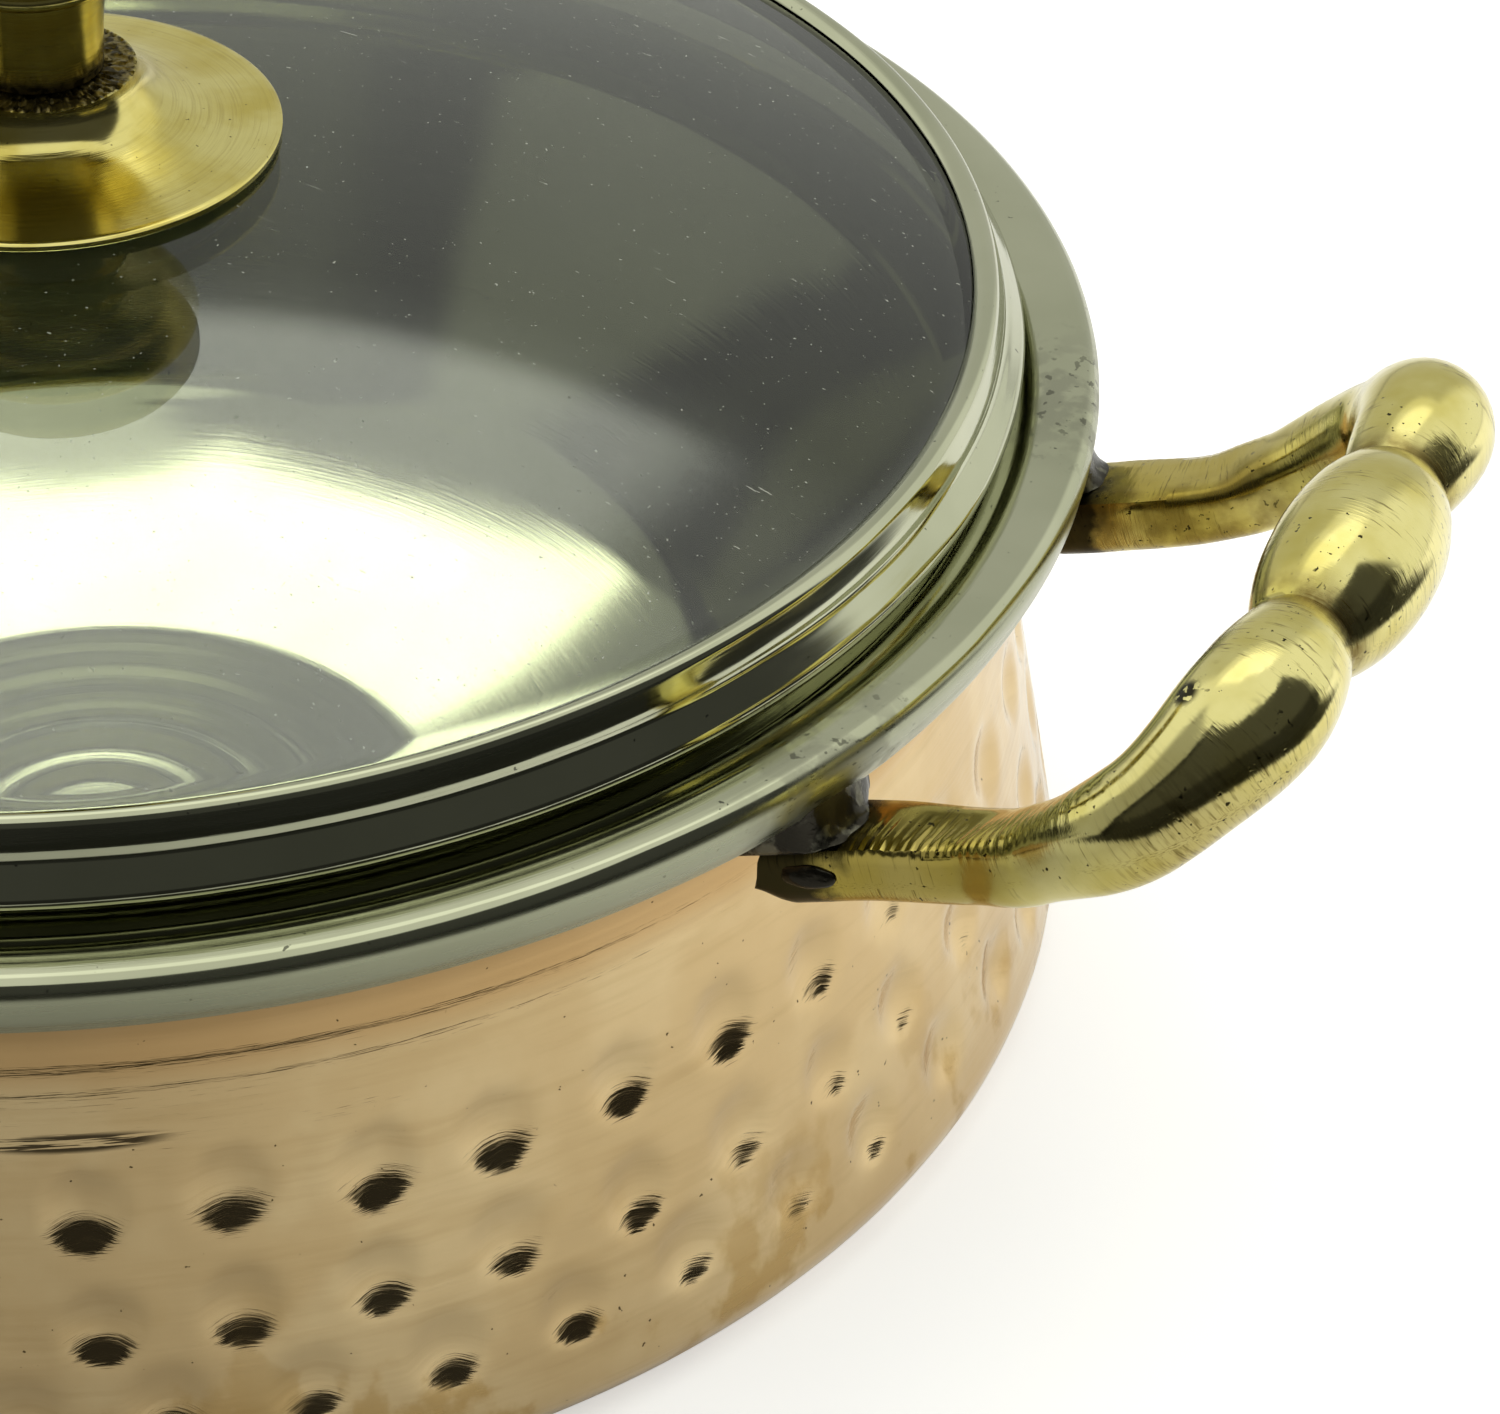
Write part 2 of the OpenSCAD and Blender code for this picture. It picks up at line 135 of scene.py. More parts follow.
def through(a, b, c, d, t):
    """What lies at t on the soft curve from b to c, with their neighbours a and d."""
    return 0.5 * (2 * b + (c - a) * t + (2 * a - 5 * b + 4 * c - d) * t ** 2
                  + (3 * b - a - 3 * c + d) * t ** 3)


def smoothed(points, steps):
    """A soft curve through the points, with steps between each pair."""
    ends = [points[0]] + list(points) + [points[-1]]
    curve = []
    for i in range(1, len(ends) - 2):
        four = ends[i - 1:i + 3]
        curve += [tuple(through(*(p[n] for p in four), k / steps) for n in (0, 1))
                  for k in range(steps)]
    return curve + [tuple(points[-1])]


def ease(value, low, high):
    """0 below low, 1 above high and smooth between."""
    t = min(max((value - low) / (high - low), 0), 1)
    return t * t * (3 - 2 * t)


def make_piece(name, points, faces, finish, crease=40):
    """A piece from points in millimetres, smooth except at edges sharper than crease degrees."""
    mesh = bpy.data.meshes.new(name)
    mesh.from_pydata([(x * MM, y * MM, z * MM) for x, y, z in points], [], faces)
    skin = bmesh.new()
    skin.from_mesh(mesh)
    bmesh.ops.recalc_face_normals(skin, faces=skin.faces)
    skin.to_mesh(mesh)
    skin.free()
    mesh.shade_smooth()
    mesh.set_sharp_from_angle(angle=math.radians(crease))
    piece = bpy.data.objects.new(name, mesh)
    bpy.context.scene.collection.objects.link(piece)
    piece.data.materials.append(finish)
    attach(piece, "root")
    return piece


def turned(name, line, steps, finish, crease=40, shape=None):
    """A piece turned about the pot's axis from (radius, height) points.

    A line that starts or ends on the axis is closed there, any other line is a closed loop.
    shape(angle, r, z, i) may give another radius and height for a point."""
    points, rows = [], []
    for i, (r, z) in enumerate(line):
        if r < ON_AXIS:
            rows.append([len(points)] * steps)
            points.append((0, 0, z))
            continue
        rows.append(list(range(len(points), len(points) + steps)))
        for k in range(steps):
            angle = TURN * k / steps
            rr, zz = shape(angle, r, z, i) if shape else (r, z)
            points.append((rr * math.cos(angle), rr * math.sin(angle), zz))
    if line[0][0] > ON_AXIS:
        rows.append(rows[0])
    faces = []
    for low, high in zip(rows, rows[1:]):
        for k in range(steps):
            n = (k + 1) % steps
            face = [low[k], low[n], high[n], high[k]]
            faces.append([v for j, v in enumerate(face) if v not in face[:j]])
    return make_piece(name, points, faces, finish, crease)


# Shader helpers

def linear(hex_colour):
    """An sRGB hex colour as the linear values that a shader takes."""
    channels = [int(hex_colour[i:i + 2], 16) / 255 for i in (1, 3, 5)]
    return [c / 12.92 if c <= 0.04045 else ((c + 0.055) / 1.055) ** 2.4 for c in channels] + [1.0]


def new_finish(name, **constants):
    """A material with these constants on its shader. Returns it, its nodes and the shader."""
    finish = bpy.data.materials.new(name)
    finish.use_nodes = True
    shader = finish.node_tree.nodes["Principled BSDF"]
    for socket, value in constants.items():
        shader.inputs[socket.replace("_", " ")].default_value = value
    return finish, finish.node_tree, shader


def add(tree, kind, inputs=(), output=None, **settings):
    """Adds a node and returns one of its outputs, the first in use unless it is named.

    inputs gives values or other nodes' outputs, by socket name or in the order of the sockets."""
    node = tree.nodes.new("ShaderNode" + kind)
    for key, value in settings.items():
        setattr(node, key, value)
    free = [s for s in node.inputs if s.enabled]
    pairs = inputs.items() if isinstance(inputs, dict) else enumerate(inputs)
    for key, value in pairs:
        socket = free[key] if isinstance(key, int) else next(s for s in free if s.name == key)
        if isinstance(value, bpy.types.NodeSocket):
            tree.links.new(value, socket)
        elif value is not None:
            socket.default_value = value
    outputs = [s for s in node.outputs if s.enabled]
    return outputs[0] if output is None else node.outputs[output]


def in_millimetres(tree):
    """The place on the object in millimetres, its radius from the pot's axis and its height."""
    place = add(tree, "VectorMath", [add(tree, "TexCoord", output="Object"), [1 / MM] * 3],
                operation="MULTIPLY")
    flat = add(tree, "VectorMath", [place, (1, 1, 0)], operation="MULTIPLY")
    radius = add(tree, "VectorMath", [flat], output="Value", operation="LENGTH")
    height = add(tree, "SeparateXYZ", [place], output="Z")
    return place, radius, height


def round_lines(tree, place, radius, height, length, width):
    """Noise drawn out round the pot's axis, as turning and polishing leave, in millimetres."""
    across = add(tree, "Math", [add(tree, "Math", [radius, height], operation="ADD"), 1 / width],
                 operation="MULTIPLY")
    around = add(tree, "VectorMath", [place, (1 / length, 1 / length, 0)], operation="MULTIPLY")
    vector = add(tree, "VectorMath", [around, add(tree, "CombineXYZ", [0.0, 0.0, across])],
                 operation="ADD")
    return add(tree, "TexNoise", {"Vector": vector, "Scale": 1.0, "Detail": 3.0, "Roughness": 0.65})


def patches(tree, place, size, low, high, detail=4.0):
    """A mask of cloudy patches: size in millimetres, from 0 where noise is low to 1 where high."""
    cloud = add(tree, "TexNoise", {"Vector": place, "Scale": 1 / size, "Detail": detail})
    return add(tree, "MapRange", [cloud, low, high, 0.0, 1.0], interpolation_type="SMOOTHSTEP")


def near(tree, place, spot, inner, outer):
    """1 within inner millimetres of a spot, falling to 0 at outer."""
    gap = add(tree, "VectorMath", [place, spot], output="Value", operation="DISTANCE")
    return add(tree, "MapRange", [gap, inner, outer, 1.0, 0.0], interpolation_type="SMOOTHSTEP")


def coated(tree, base, coats):
    """A base colour under coats: each has a mask, how much it hides and a hex colour."""
    for mask, cover, colour in coats:
        part = add(tree, "Math", [mask, cover], operation="MULTIPLY")
        base = add(tree, "Mix", [part, base, linear(colour)], data_type="RGBA")
    return base


def finished(finish, tree, shader, colour, rough, grain, strength, depth):
    """Links a finish's colour, its roughness and the bump of its grain, depth in millimetres."""
    tree.links.new(colour, shader.inputs["Base Color"])
    tree.links.new(rough, shader.inputs["Roughness"])
    bump = add(tree, "Bump", {"Height": grain, "Strength": strength, "Distance": depth * MM})
    tree.links.new(bump, shader.inputs["Normal"])
    return finish


# Finishes

# Where the handles' feet meet the rim, in millimetres
FOOT_SPOTS = [(sx * 84.5, sy * 27.5, 55.0) for sx in (1, -1) for sy in (1, -1)]


def polished_copper():
    """Spun copper, hammered and wheel polished: pale warm metal that mirrors the table, with fine
    polishing lines round the pot, a browner neck, yellow stains low down and a burnt streak."""
    finish, tree, shader = new_finish("polished_copper", Metallic=1.0)
    place, radius, height = in_millimetres(tree)
    lines = round_lines(tree, place, radius, height, 9.0, 0.3)
    streaks = round_lines(tree, place, radius, height, 26.0, 1.8)
    streaky = add(tree, "MapRange", [streaks, 0.5, 0.78, 0.0, 1.0])
    neck = add(tree, "MapRange", [height, 40.5, 44.0, 0.0, 1.0], interpolation_type="SMOOTHSTEP")
    low = add(tree, "MapRange", [height, 24.0, 8.0, 0.0, 1.0])
    drips = add(tree, "VectorMath", [place, (1.0, 1.0, 0.8)], operation="MULTIPLY")
    stain = add(tree, "Math", [low, patches(tree, drips, 8, 0.52, 0.6, 6.0)], operation="MULTIPLY")
    pale = patches(tree, place, 14, 0.42, 0.62)
    # The burnt streak is nine times as wide as it is tall and lies 37.1 mm up
    flat_place = add(tree, "VectorMath", [place, (1.0, 1.0, 9.0)], operation="MULTIPLY")
    burnt = near(tree, flat_place, (41.5, -72.0, 334.0), 5.0, 9.0)
    burnt = add(tree, "Math", [burnt, add(tree, "MapRange", [lines, 0.44, 0.48, 0.0, 1.0])],
                operation="MULTIPLY")
    specks = patches(tree, place, 0.9, 0.74, 0.77, 2.0)
    base = add(tree, "Mix", [pale, linear("#CFB486"), linear("#D8BF92")], data_type="RGBA")
    colour = coated(tree, base, [(streaky, 0.45, "#B99C6C"), (neck, 0.8, "#BE9A68"),
                                 (stain, 0.55, "#B48F48"), (specks, 0.9, "#4A3A22"),
                                 (burnt, 0.9, "#1C140C")])
    rough = add(tree, "MapRange", [lines, 0.3, 0.8, 0.06, 0.19])
    rough = add(tree, "Math", [stain, 0.14, rough], operation="MULTIPLY_ADD")
    return finished(finish, tree, shader, colour, rough, lines, 0.15, 0.2)


def polished_steel(name, by_feet):
    """Stainless steel sheet, spun and mirror polished: grey with a green cast, with fine lines
    round the pot. by_feet is for the bowl: the underside of the rolled edge is rougher and painted
    greyer as painted shade, and by the handles' feet the heat has left grey smears and cracked
    flux. Without it, for the lid's band, what lies under the glass is painted near black as painted
    shade."""
    finish, tree, shader = new_finish(name, Metallic=1.0)
    place, radius, height = in_millimetres(tree)
    lines = round_lines(tree, place, radius, height, 14.0, 0.35)
    pits = patches(tree, place, 0.8, 0.73, 0.77, 2.0)
    cloudy = patches(tree, place, 25, 0.3, 0.7)
    base = add(tree, "Mix", [cloudy, linear("#C0C1A8"), linear("#B0B298")], data_type="RGBA")
    coats = [(pits, 0.8, "#3A3A32")]
    rough = add(tree, "MapRange", [lines, 0.3, 0.8, 0.05, 0.16])
    if by_feet:
        # The underside of the rolled edge is rougher and painted greyer: painted shade
        outmost = add(tree, "MapRange", [radius, RIM_R - 2.0, RIM_R - 0.6, 0.0, 1.0],
                      interpolation_type="SMOOTHSTEP")
        below = add(tree, "MapRange", [height, POT_H - 1.2, POT_H - 0.2, 1.0, 0.0],
                    interpolation_type="SMOOTHSTEP")
        edge = add(tree, "Math", [outmost, below], operation="MULTIPLY")
        coats.append((edge, 0.6, "#9A9C84"))
        rough = add(tree, "Math", [edge, 0.2, rough], operation="MULTIPLY_ADD")
        dull = None
        for spot in FOOT_SPOTS:
            here = near(tree, place, spot, 3.0, 14.0)
            dull = here if dull is None else add(tree, "Math", [dull, here], operation="MAXIMUM")
        cracks = add(tree, "VectorMath", [place, (1.0, 1.0, 2.5)], operation="MULTIPLY")
        cracks = patches(tree, cracks, 1.1, 0.62, 0.66, 4.0)
        clouds = add(tree, "Math", [dull, patches(tree, place, 3.0, 0.42, 0.56, 6.0)],
                     operation="MULTIPLY")
        cracks = add(tree, "Math", [dull, cracks], operation="MULTIPLY")
        coats += [(clouds, 0.4, "#77756A"), (cracks, 0.6, "#2C2A22")]
        rough = add(tree, "Math", [clouds, 0.14, rough], operation="MULTIPLY_ADD")
    else:
        # Under the glass the band is painted near black and made rougher: painted shade
        inside = add(tree, "MapRange", [radius, SKIRT_R - 0.4, SKIRT_R - 0.2, 1.0, 0.0])
        under = add(tree, "MapRange", [height, GLASS_EDGE_Z - 0.2, GLASS_EDGE_Z - 0.6, 0.0, 1.0])
        painted_shade_under_glass = add(tree, "Math", [inside, under], operation="MULTIPLY")
        coats.append((painted_shade_under_glass, 0.97, "#1E211A"))
        rough = add(tree, "Math", [painted_shade_under_glass, 0.4, rough], operation="MULTIPLY_ADD")
    return finished(finish, tree, shader, coated(tree, base, coats), rough, lines, 0.04, 0.2)


def cast_brass():
    """Sand cast brass, filed and buffed: pale olive gold beads with file lines across them,
    browner arms, brown stain in the waists, painted shade on the inner side of the back arm, the
    lower outer side painted browner as a painted dark reflection and scored with file lines, small
    dark casting pits, one larger flaw beside an end bead, and painted shade by the feet, where the
    arms run in under the rim.

    The handle's own attribute "lay" gives the way along it, the way round it, and the brown stain
    between beads with the painted shade on the back arm."""
    finish, tree, shader = new_finish("cast_brass", Metallic=1.0)
    place, radius, height = in_millimetres(tree)
    lay = add(tree, "Attribute", output="Vector", attribute_name="lay")
    waist_stain_and_painted_shade = add(tree, "SeparateXYZ", [lay], output="Z")
    files = add(tree, "VectorMath", [lay, (3.0, 0.2, 0.0)], operation="MULTIPLY")
    files = add(tree, "TexNoise", {"Vector": files, "Scale": 1.0, "Detail": 3.0, "Roughness": 0.7})
    worn = patches(tree, place, 7, 0.44, 0.57)
    scratch = add(tree, "MapRange", [files, 0.57, 0.66, 0.0, 1.0])
    scratch = add(tree, "Math", [scratch, worn], operation="MULTIPLY")
    arm = add(tree, "MapRange", [radius, 110.0, 100.0, 0.0, 1.0], interpolation_type="SMOOTHSTEP")
    # The lower outer side of the grip is painted browner as a painted dark reflection, and scored
    # with file lines
    low = add(tree, "MapRange", [height, 69.0, 63.0, 0.0, 1.0])
    outer = add(tree, "Math", [low, add(tree, "MapRange", [radius, 112.0, 118.0, 0.0, 1.0])],
                operation="MULTIPLY")
    scored = add(tree, "MapRange", [files, 0.5, 0.58, 0.0, 1.0])
    scored = add(tree, "Math", [scored, outer], operation="MULTIPLY")
    # Brown stain between beads, and painted shade on the inner side of the back arm
    stain = add(tree, "Math", [waist_stain_and_painted_shade, patches(tree, place, 3, 0.3, 0.6)], operation="MULTIPLY")
    porous = add(tree, "Math", [patches(tree, place, 5, 0.48, 0.56), waist_stain_and_painted_shade], operation="MAXIMUM")
    pits = add(tree, "Math", [patches(tree, place, 0.6, 0.67, 0.7, 2.0), porous],
               operation="MULTIPLY")
    flaw = add(tree, "Math", [near(tree, place, (111.3, -25.4, 69.9), 0.7, 1.6),
                              patches(tree, place, 0.9, 0.42, 0.46, 3.0)], operation="MULTIPLY")
    # Near the feet, where the arms run in under the rim's lip, the brass is painted near black:
    # painted shade
    reach = add(tree, "Math", [patches(tree, place, 2.5, 0.3, 0.7), 2.2, radius],
                operation="MULTIPLY_ADD")
    painted_shade_at_rim = add(tree, "MapRange", [reach, 90.6, 93.6, 1.0, 0.0], interpolation_type="SMOOTHSTEP")
    cloudy = patches(tree, place, 9, 0.35, 0.65)
    base = add(tree, "Mix", [cloudy, linear("#E6DC98"), linear("#D0C26C")], data_type="RGBA")
    colour = coated(tree, base, [(arm, 0.65, "#B59C3A"), (outer, 0.5, "#8C7636"),
                                 (scored, 0.45, "#6E5C26"), (scratch, 0.75, "#5E4E20"),
                                 (stain, 0.8, "#654C16"), (pits, 0.95, "#1C160A"),
                                 (flaw, 0.97, "#120E08"), (painted_shade_at_rim, 0.94, "#1E1B13")])
    rough = add(tree, "MapRange", [files, 0.3, 0.8, 0.07, 0.2])
    rough = add(tree, "Math", [stain, 0.18, rough], operation="MULTIPLY_ADD")
    rough = add(tree, "Math", [painted_shade_at_rim, 0.2, rough], operation="MULTIPLY_ADD")
    grain = add(tree, "Math", [files, worn], operation="MULTIPLY")
    grain = add(tree, "Math", [pits, -1.5, grain], operation="MULTIPLY_ADD")
    return finished(finish, tree, shader, colour, rough, grain, 0.14, 0.2)


def turned_brass():
    """Brass bar turned on a lathe: bright gold with crisp tool rings, brown spots, and a torn grey
    brown face on top of the boss, where the stem was joined on."""
    finish, tree, shader = new_finish("turned_brass", Metallic=1.0)
    place, radius, height = in_millimetres(tree)
    lines = round_lines(tree, place, radius, height, 10.0, 0.16)
    rings = add(tree, "MapRange", [lines, 0.5, 0.8, 0.0, 1.0])
    pits = patches(tree, place, 0.5, 0.73, 0.76, 2.0)
    inside = add(tree, "MapRange", [radius, BOSS_R + 0.2, BOSS_R - 0.3, 0.0, 1.0])
    under = add(tree, "MapRange", [height, BOSS_Z + 1.2, BOSS_Z + 0.6, 0.0, 1.0])
    over = add(tree, "MapRange", [height, BOSS_Z - 0.9, BOSS_Z - 0.5, 0.0, 1.0])
    joint = add(tree, "Math", [inside, under], operation="MULTIPLY")
    joint = add(tree, "Math", [joint, over], operation="MULTIPLY")
    torn = patches(tree, place, 0.8, 0.4, 0.6, 3.0)
    cloudy = patches(tree, place, 8, 0.35, 0.7)
    base = add(tree, "Mix", [cloudy, linear("#E2D68C"), linear("#CCBA5C")], data_type="RGBA")
    black = add(tree, "Math", [joint, torn], operation="MULTIPLY")
    colour = coated(tree, base, [(rings, 0.4, "#8A7630"), (pits, 0.9, "#2A200E"),
                                 (joint, 0.85, "#6E6142"), (black, 0.85, "#231E14")])
    rough = add(tree, "MapRange", [lines, 0.3, 0.8, 0.09, 0.22])
    rough = add(tree, "Math", [joint, 0.25, rough], operation="MULTIPLY_ADD")
    return finished(finish, tree, shader, colour, rough, lines, 0.1, 0.2)


def soft_solder():
    """Tin solder under burnt flux and painted shade from the rim's lip above it: smooth, near black
    and glossy, with grey metal laid bare.
    """
    finish, tree, shader = new_finish("soft_solder", Metallic=0.9)
    place = in_millimetres(tree)[0]
    bare = patches(tree, place, 2.4, 0.52, 0.66)
    grains = patches(tree, place, 0.4, 0.5, 0.7, 2.0)
    sparkle = add(tree, "Math", [bare, grains], operation="MULTIPLY")
    # The near black is partly burnt flux and partly painted shade under the rim's lip
    base = add(tree, "Mix", [bare, linear("#34312A"), linear("#727062")], data_type="RGBA")
    colour = coated(tree, base, [(sparkle, 0.4, "#8A8674")])
    rough = add(tree, "MapRange", [bare, 0.0, 1.0, 0.24, 0.36])
    return finished(finish, tree, shader, colour, rough, grains, 0.15, 0.1)


def tempered_glass():
    """Pressed soda glass, tempered: clear with a faint green cast, and dust and hairline scratches
    on it that catch the light."""
    finish, tree, shader = new_finish("tempered_glass", Transmission_Weight=1.0, IOR=1.5,
                                      Roughness=0.0)
    place = in_millimetres(tree)[0]
    cloudy = patches(tree, place, 30, 0.3, 0.8)
    tint = add(tree, "Mix", [cloudy, linear("#EEF1EA"), linear("#E8ECE1")], data_type="RGBA")
    tree.links.new(tint, shader.inputs["Base Color"])
    dust = patches(tree, place, 0.45, 0.755, 0.775, 1.0)
    drawn = add(tree, "VectorMath", [place, (0.12, 2.2, 2.2)], operation="MULTIPLY")
    scratches = add(tree, "Math", [patches(tree, drawn, 1.0, 0.735, 0.75, 2.0),
                                   patches(tree, place, 20, 0.5, 0.6)], operation="MULTIPLY")
    marks = add(tree, "Math", [dust, scratches], operation="MAXIMUM")
    cover = add(tree, "Math", [marks, 0.5], operation="MULTIPLY")
    chalk = add(tree, "BsdfDiffuse", {"Color": linear("#C9CCBC")})
    surface = add(tree, "MixShader", [cover, shader.outputs["BSDF"], chalk])
    tree.links.new(surface, tree.nodes["Material Output"].inputs["Surface"])
    return finish


def hidden_finish(name, pale, dark, metallic, roughness):
    """A plain finish for the small pieces under the knob, with a fine grain."""
    finish, tree, shader = new_finish(name, Metallic=metallic)
    place = in_millimetres(tree)[0]
    grain = patches(tree, place, 0.6, 0.3, 0.7)
    colour = add(tree, "Mix", [grain, linear(pale), linear(dark)], data_type="RGBA")
    rough = add(tree, "MapRange", [grain, 0.0, 1.0, roughness, roughness + 0.1])
    return finished(finish, tree, shader, colour, rough, grain, 0.1, 0.1)


# Stage

def facing(tree, level, azimuth, width, soft):
    """A mask of level directions within width degrees of an azimuth."""
    a = math.radians(azimuth)
    dot = add(tree, "VectorMath", [level, (math.cos(a), math.sin(a), 0)], output="Value",
              operation="DOT_PRODUCT")
    return add(tree, "MapRange", [dot, math.cos(math.radians(width + soft)),
                                  math.cos(math.radians(width)), 0.0, 1.0],
               interpolation_type="SMOOTHSTEP")


def at_height(tree, up, low, high, soft):
    """A mask of directions between two elevations in degrees. up is a direction's height, from -1
    to 1, and an elevation of 90 degrees or more gives a bound that no direction reaches."""
    lowest, low, high, highest = (
        math.sin(math.radians(a)) if abs(a) < 90 else a / 80
        for a in (low - soft, low, high, high + soft))
    over = add(tree, "MapRange", [up, lowest, low, 0.0, 1.0], interpolation_type="SMOOTHSTEP")
    under = add(tree, "MapRange", [up, high, highest, 1.0, 0.0], interpolation_type="SMOOTHSTEP")
    return add(tree, "Math", [over, under], operation="MULTIPLY")


# How the room differs from even white, as azimuth, width, softness, lowest and highest elevation,
# softness and the part of the light that is missing there (below 0 it is brighter). ROOM_ROUND is
# what bare metal and the glass mirror, ROOM_IN_BOWL what the bowl mirrors up through the glass.
ROOM_ROUND = [(-45, 75, 6, -90, 14, 6, 0.6), (-45, 75, 6, -90, 58, 3, 0.93),
              (-140, 20, 12, -90, 50, 8, 0.6), (118, 32, 14, -90, 42, 6, 0.35),
              (122, 40, 12, 56, 76, 6, -0.6)]
ROOM_IN_BOWL = [(-45, 75, 6, -90, 60, 3, 0.95), (-150, 42, 9, -90, 80, 4, 0.8),
                (20, 60, 20, -90, 60, 6, 0.5), (118, 40, 14, -90, 38, 5, 0.6),
                (127, 33, 6, 44, 74, 3, -3.6), (0, 180, 1, 78, 90, 4, 0.85)]
# Where the table lies in front of the pot, as azimuth, width and softness
FRONT = (-45, 75, 10)


def room(tree, way, parts):
    """Brightness of the room by direction, 1 where no part dims it."""
    level = add(tree, "VectorMath", [way, (1, 1, 0)], operation="MULTIPLY")
    level = add(tree, "VectorMath", [level], operation="NORMALIZE")
    up = add(tree, "SeparateXYZ", [way], output="Z")
    light = None
    for azimuth, width, soft, low, high, soft_up, dim in parts:
        part = add(tree, "Math", [facing(tree, level, azimuth, width, soft),
                                  at_height(tree, up, low, high, soft_up)], operation="MULTIPLY")
        left = add(tree, "Math", [part, -dim, 1.0], operation="MULTIPLY_ADD")
        light = left if light is None else add(tree, "Math", [light, left], operation="MULTIPLY")
    return light


def make_table():
    """White table top. Metal and glass mirror it with painted light and shade: far in front a strip
    painted near black as a painted dark reflection, painted shade that greys it on the left and a
    painted glow that brightens it, more on the right, while the camera sees it white."""
    half = 2.5
    z = cad_box[0][2] - 0.02 * MM
    mesh = bpy.data.meshes.new("table_top")
    mesh.from_pydata([(-half, -half, z), (half, -half, z), (half, half, z), (-half, half, z)],
                     [], [(0, 1, 2, 3)])
    table = bpy.data.objects.new("table_top", mesh)
    bpy.context.scene.collection.objects.link(table)
    finish, tree, shader = new_finish("white_table", Roughness=0.6, Specular_IOR_Level=0.2)
    path = tree.nodes.new("ShaderNodeLightPath").outputs
    mirrored = add(tree, "Math", [path["Is Glossy Ray"], path["Is Transmission Ray"]],
                   operation="MAXIMUM")
    place, radius = in_millimetres(tree)[:2]
    level = add(tree, "VectorMath", [place], operation="NORMALIZE")
    # Far in front, mirrored rays see the table painted near black: a painted dark reflection
    far = add(tree, "MapRange", [radius, 285.0, 335.0, 0.0, 1.0], interpolation_type="SMOOTHSTEP")
    front = add(tree, "Math", [far, facing(tree, level, *FRONT)], operation="MULTIPLY")
    front = add(tree, "Math", [front, mirrored], operation="MULTIPLY")
    # From about 1 at the right of the picture to about -1 at its left
    sideways = add(tree, "VectorMath", [level, (0.84, 0.54, 0)], output="Value",
                   operation="DOT_PRODUCT")
    # Mirrored rays see the table painted greyer on the left: painted shade
    left = add(tree, "MapRange", [sideways, 0.5, -0.1, 0.0, 1.0])
    left = add(tree, "Math", [left, mirrored], operation="MULTIPLY")
    colour = add(tree, "Mix", [left, linear("#E6E6E2"), linear("#B6B6B0")], data_type="RGBA")
    colour = add(tree, "Mix", [front, colour, linear("#1A1A16")], data_type="RGBA")
    tree.links.new(colour, shader.inputs["Base Color"])
    shader.inputs["Emission Color"].default_value = (1, 1, 1, 1)
    # Mirrored rays see the table glow, more on the right: painted light. The camera's part only
    # keeps the table evenly white.
    painted_glow_mask = add(tree, "Math", [mirrored, front], operation="SUBTRACT")
    right = add(tree, "MapRange", [sideways, 0.5, 1.0, 0.12, 0.4])
    seen = add(tree, "Math", [path["Is Camera Ray"], 0.5], operation="MULTIPLY")
    glow = add(tree, "Math", [painted_glow_mask, right, seen], operation="MULTIPLY_ADD")
    tree.links.new(glow, shader.inputs["Emission Strength"])
    mesh.materials.append(finish)


def make_room():
    """White room. Matt surfaces get a plain part of its light, metal mirrors it as ROOM_ROUND says
    and the bowl under the glass as ROOM_IN_BOWL says. Its walls are a faint warm green to all but
    the camera."""
    world = bpy.data.worlds.new("studio")
    bpy.context.scene.world = world
    world.use_nodes = True
    tree = world.node_tree
    path = tree.nodes.new("ShaderNodeLightPath").outputs
    way = add(tree, "TexCoord", output="Generated")
    light = add(tree, "MapRange", [path["Is Camera Ray"], 0.0, 1.0, 0.36, 1.0])
    for ray, parts in (("Is Glossy Ray", ROOM_ROUND), ("Is Transmission Ray", ROOM_IN_BOWL)):
        light = add(tree, "Mix", [path[ray], light, room(tree, way, parts)], data_type="FLOAT")
    tree.links.new(light, tree.nodes["Background"].inputs["Strength"])
    walls = add(tree, "Mix", [path["Is Camera Ray"], linear("#FBFDF3"), linear("#FFFFFF")],
                data_type="RGBA")
    tree.links.new(walls, tree.nodes["Background"].inputs["Color"])


def soft_box(name, place, size, radiance):
    """A square area lamp turned to the pot, that nothing shows or mirrors. Sizes in metres."""
    target = Vector((0.1, -0.05, 0))
    data = bpy.data.lights.new(name, "AREA")
    data.size = size
    data.energy = radiance * size * size * math.pi
    lamp = bpy.data.objects.new(name, data)
    bpy.context.scene.collection.objects.link(lamp)
    lamp.location = place
    lamp.rotation_mode = "QUATERNION"
    lamp.rotation_quaternion = (Vector(place) - target).to_track_quat("Z", "Y")
    lamp.visible_camera = lamp.visible_glossy = lamp.visible_transmission = False


# Pieces

def cone_r(z):
    """Radius of the copper's cone at a height."""
    return NECK_R + (NECK_Z - z) * (BELLY_R - NECK_R) / (NECK_Z - BASE_CORNER)


# Hammer marks of the copper: heights of the rows in millimetres, lowest first, how many there are
# in a row, where a row starts in degrees, and how far each row is turned on, in marks
MARK_ROWS = [11.7, 19.8, 30.1]
MARKS = 49
MARK_TURN = 6.8
ROW_SHIFTS = [0.45, 0, 0]


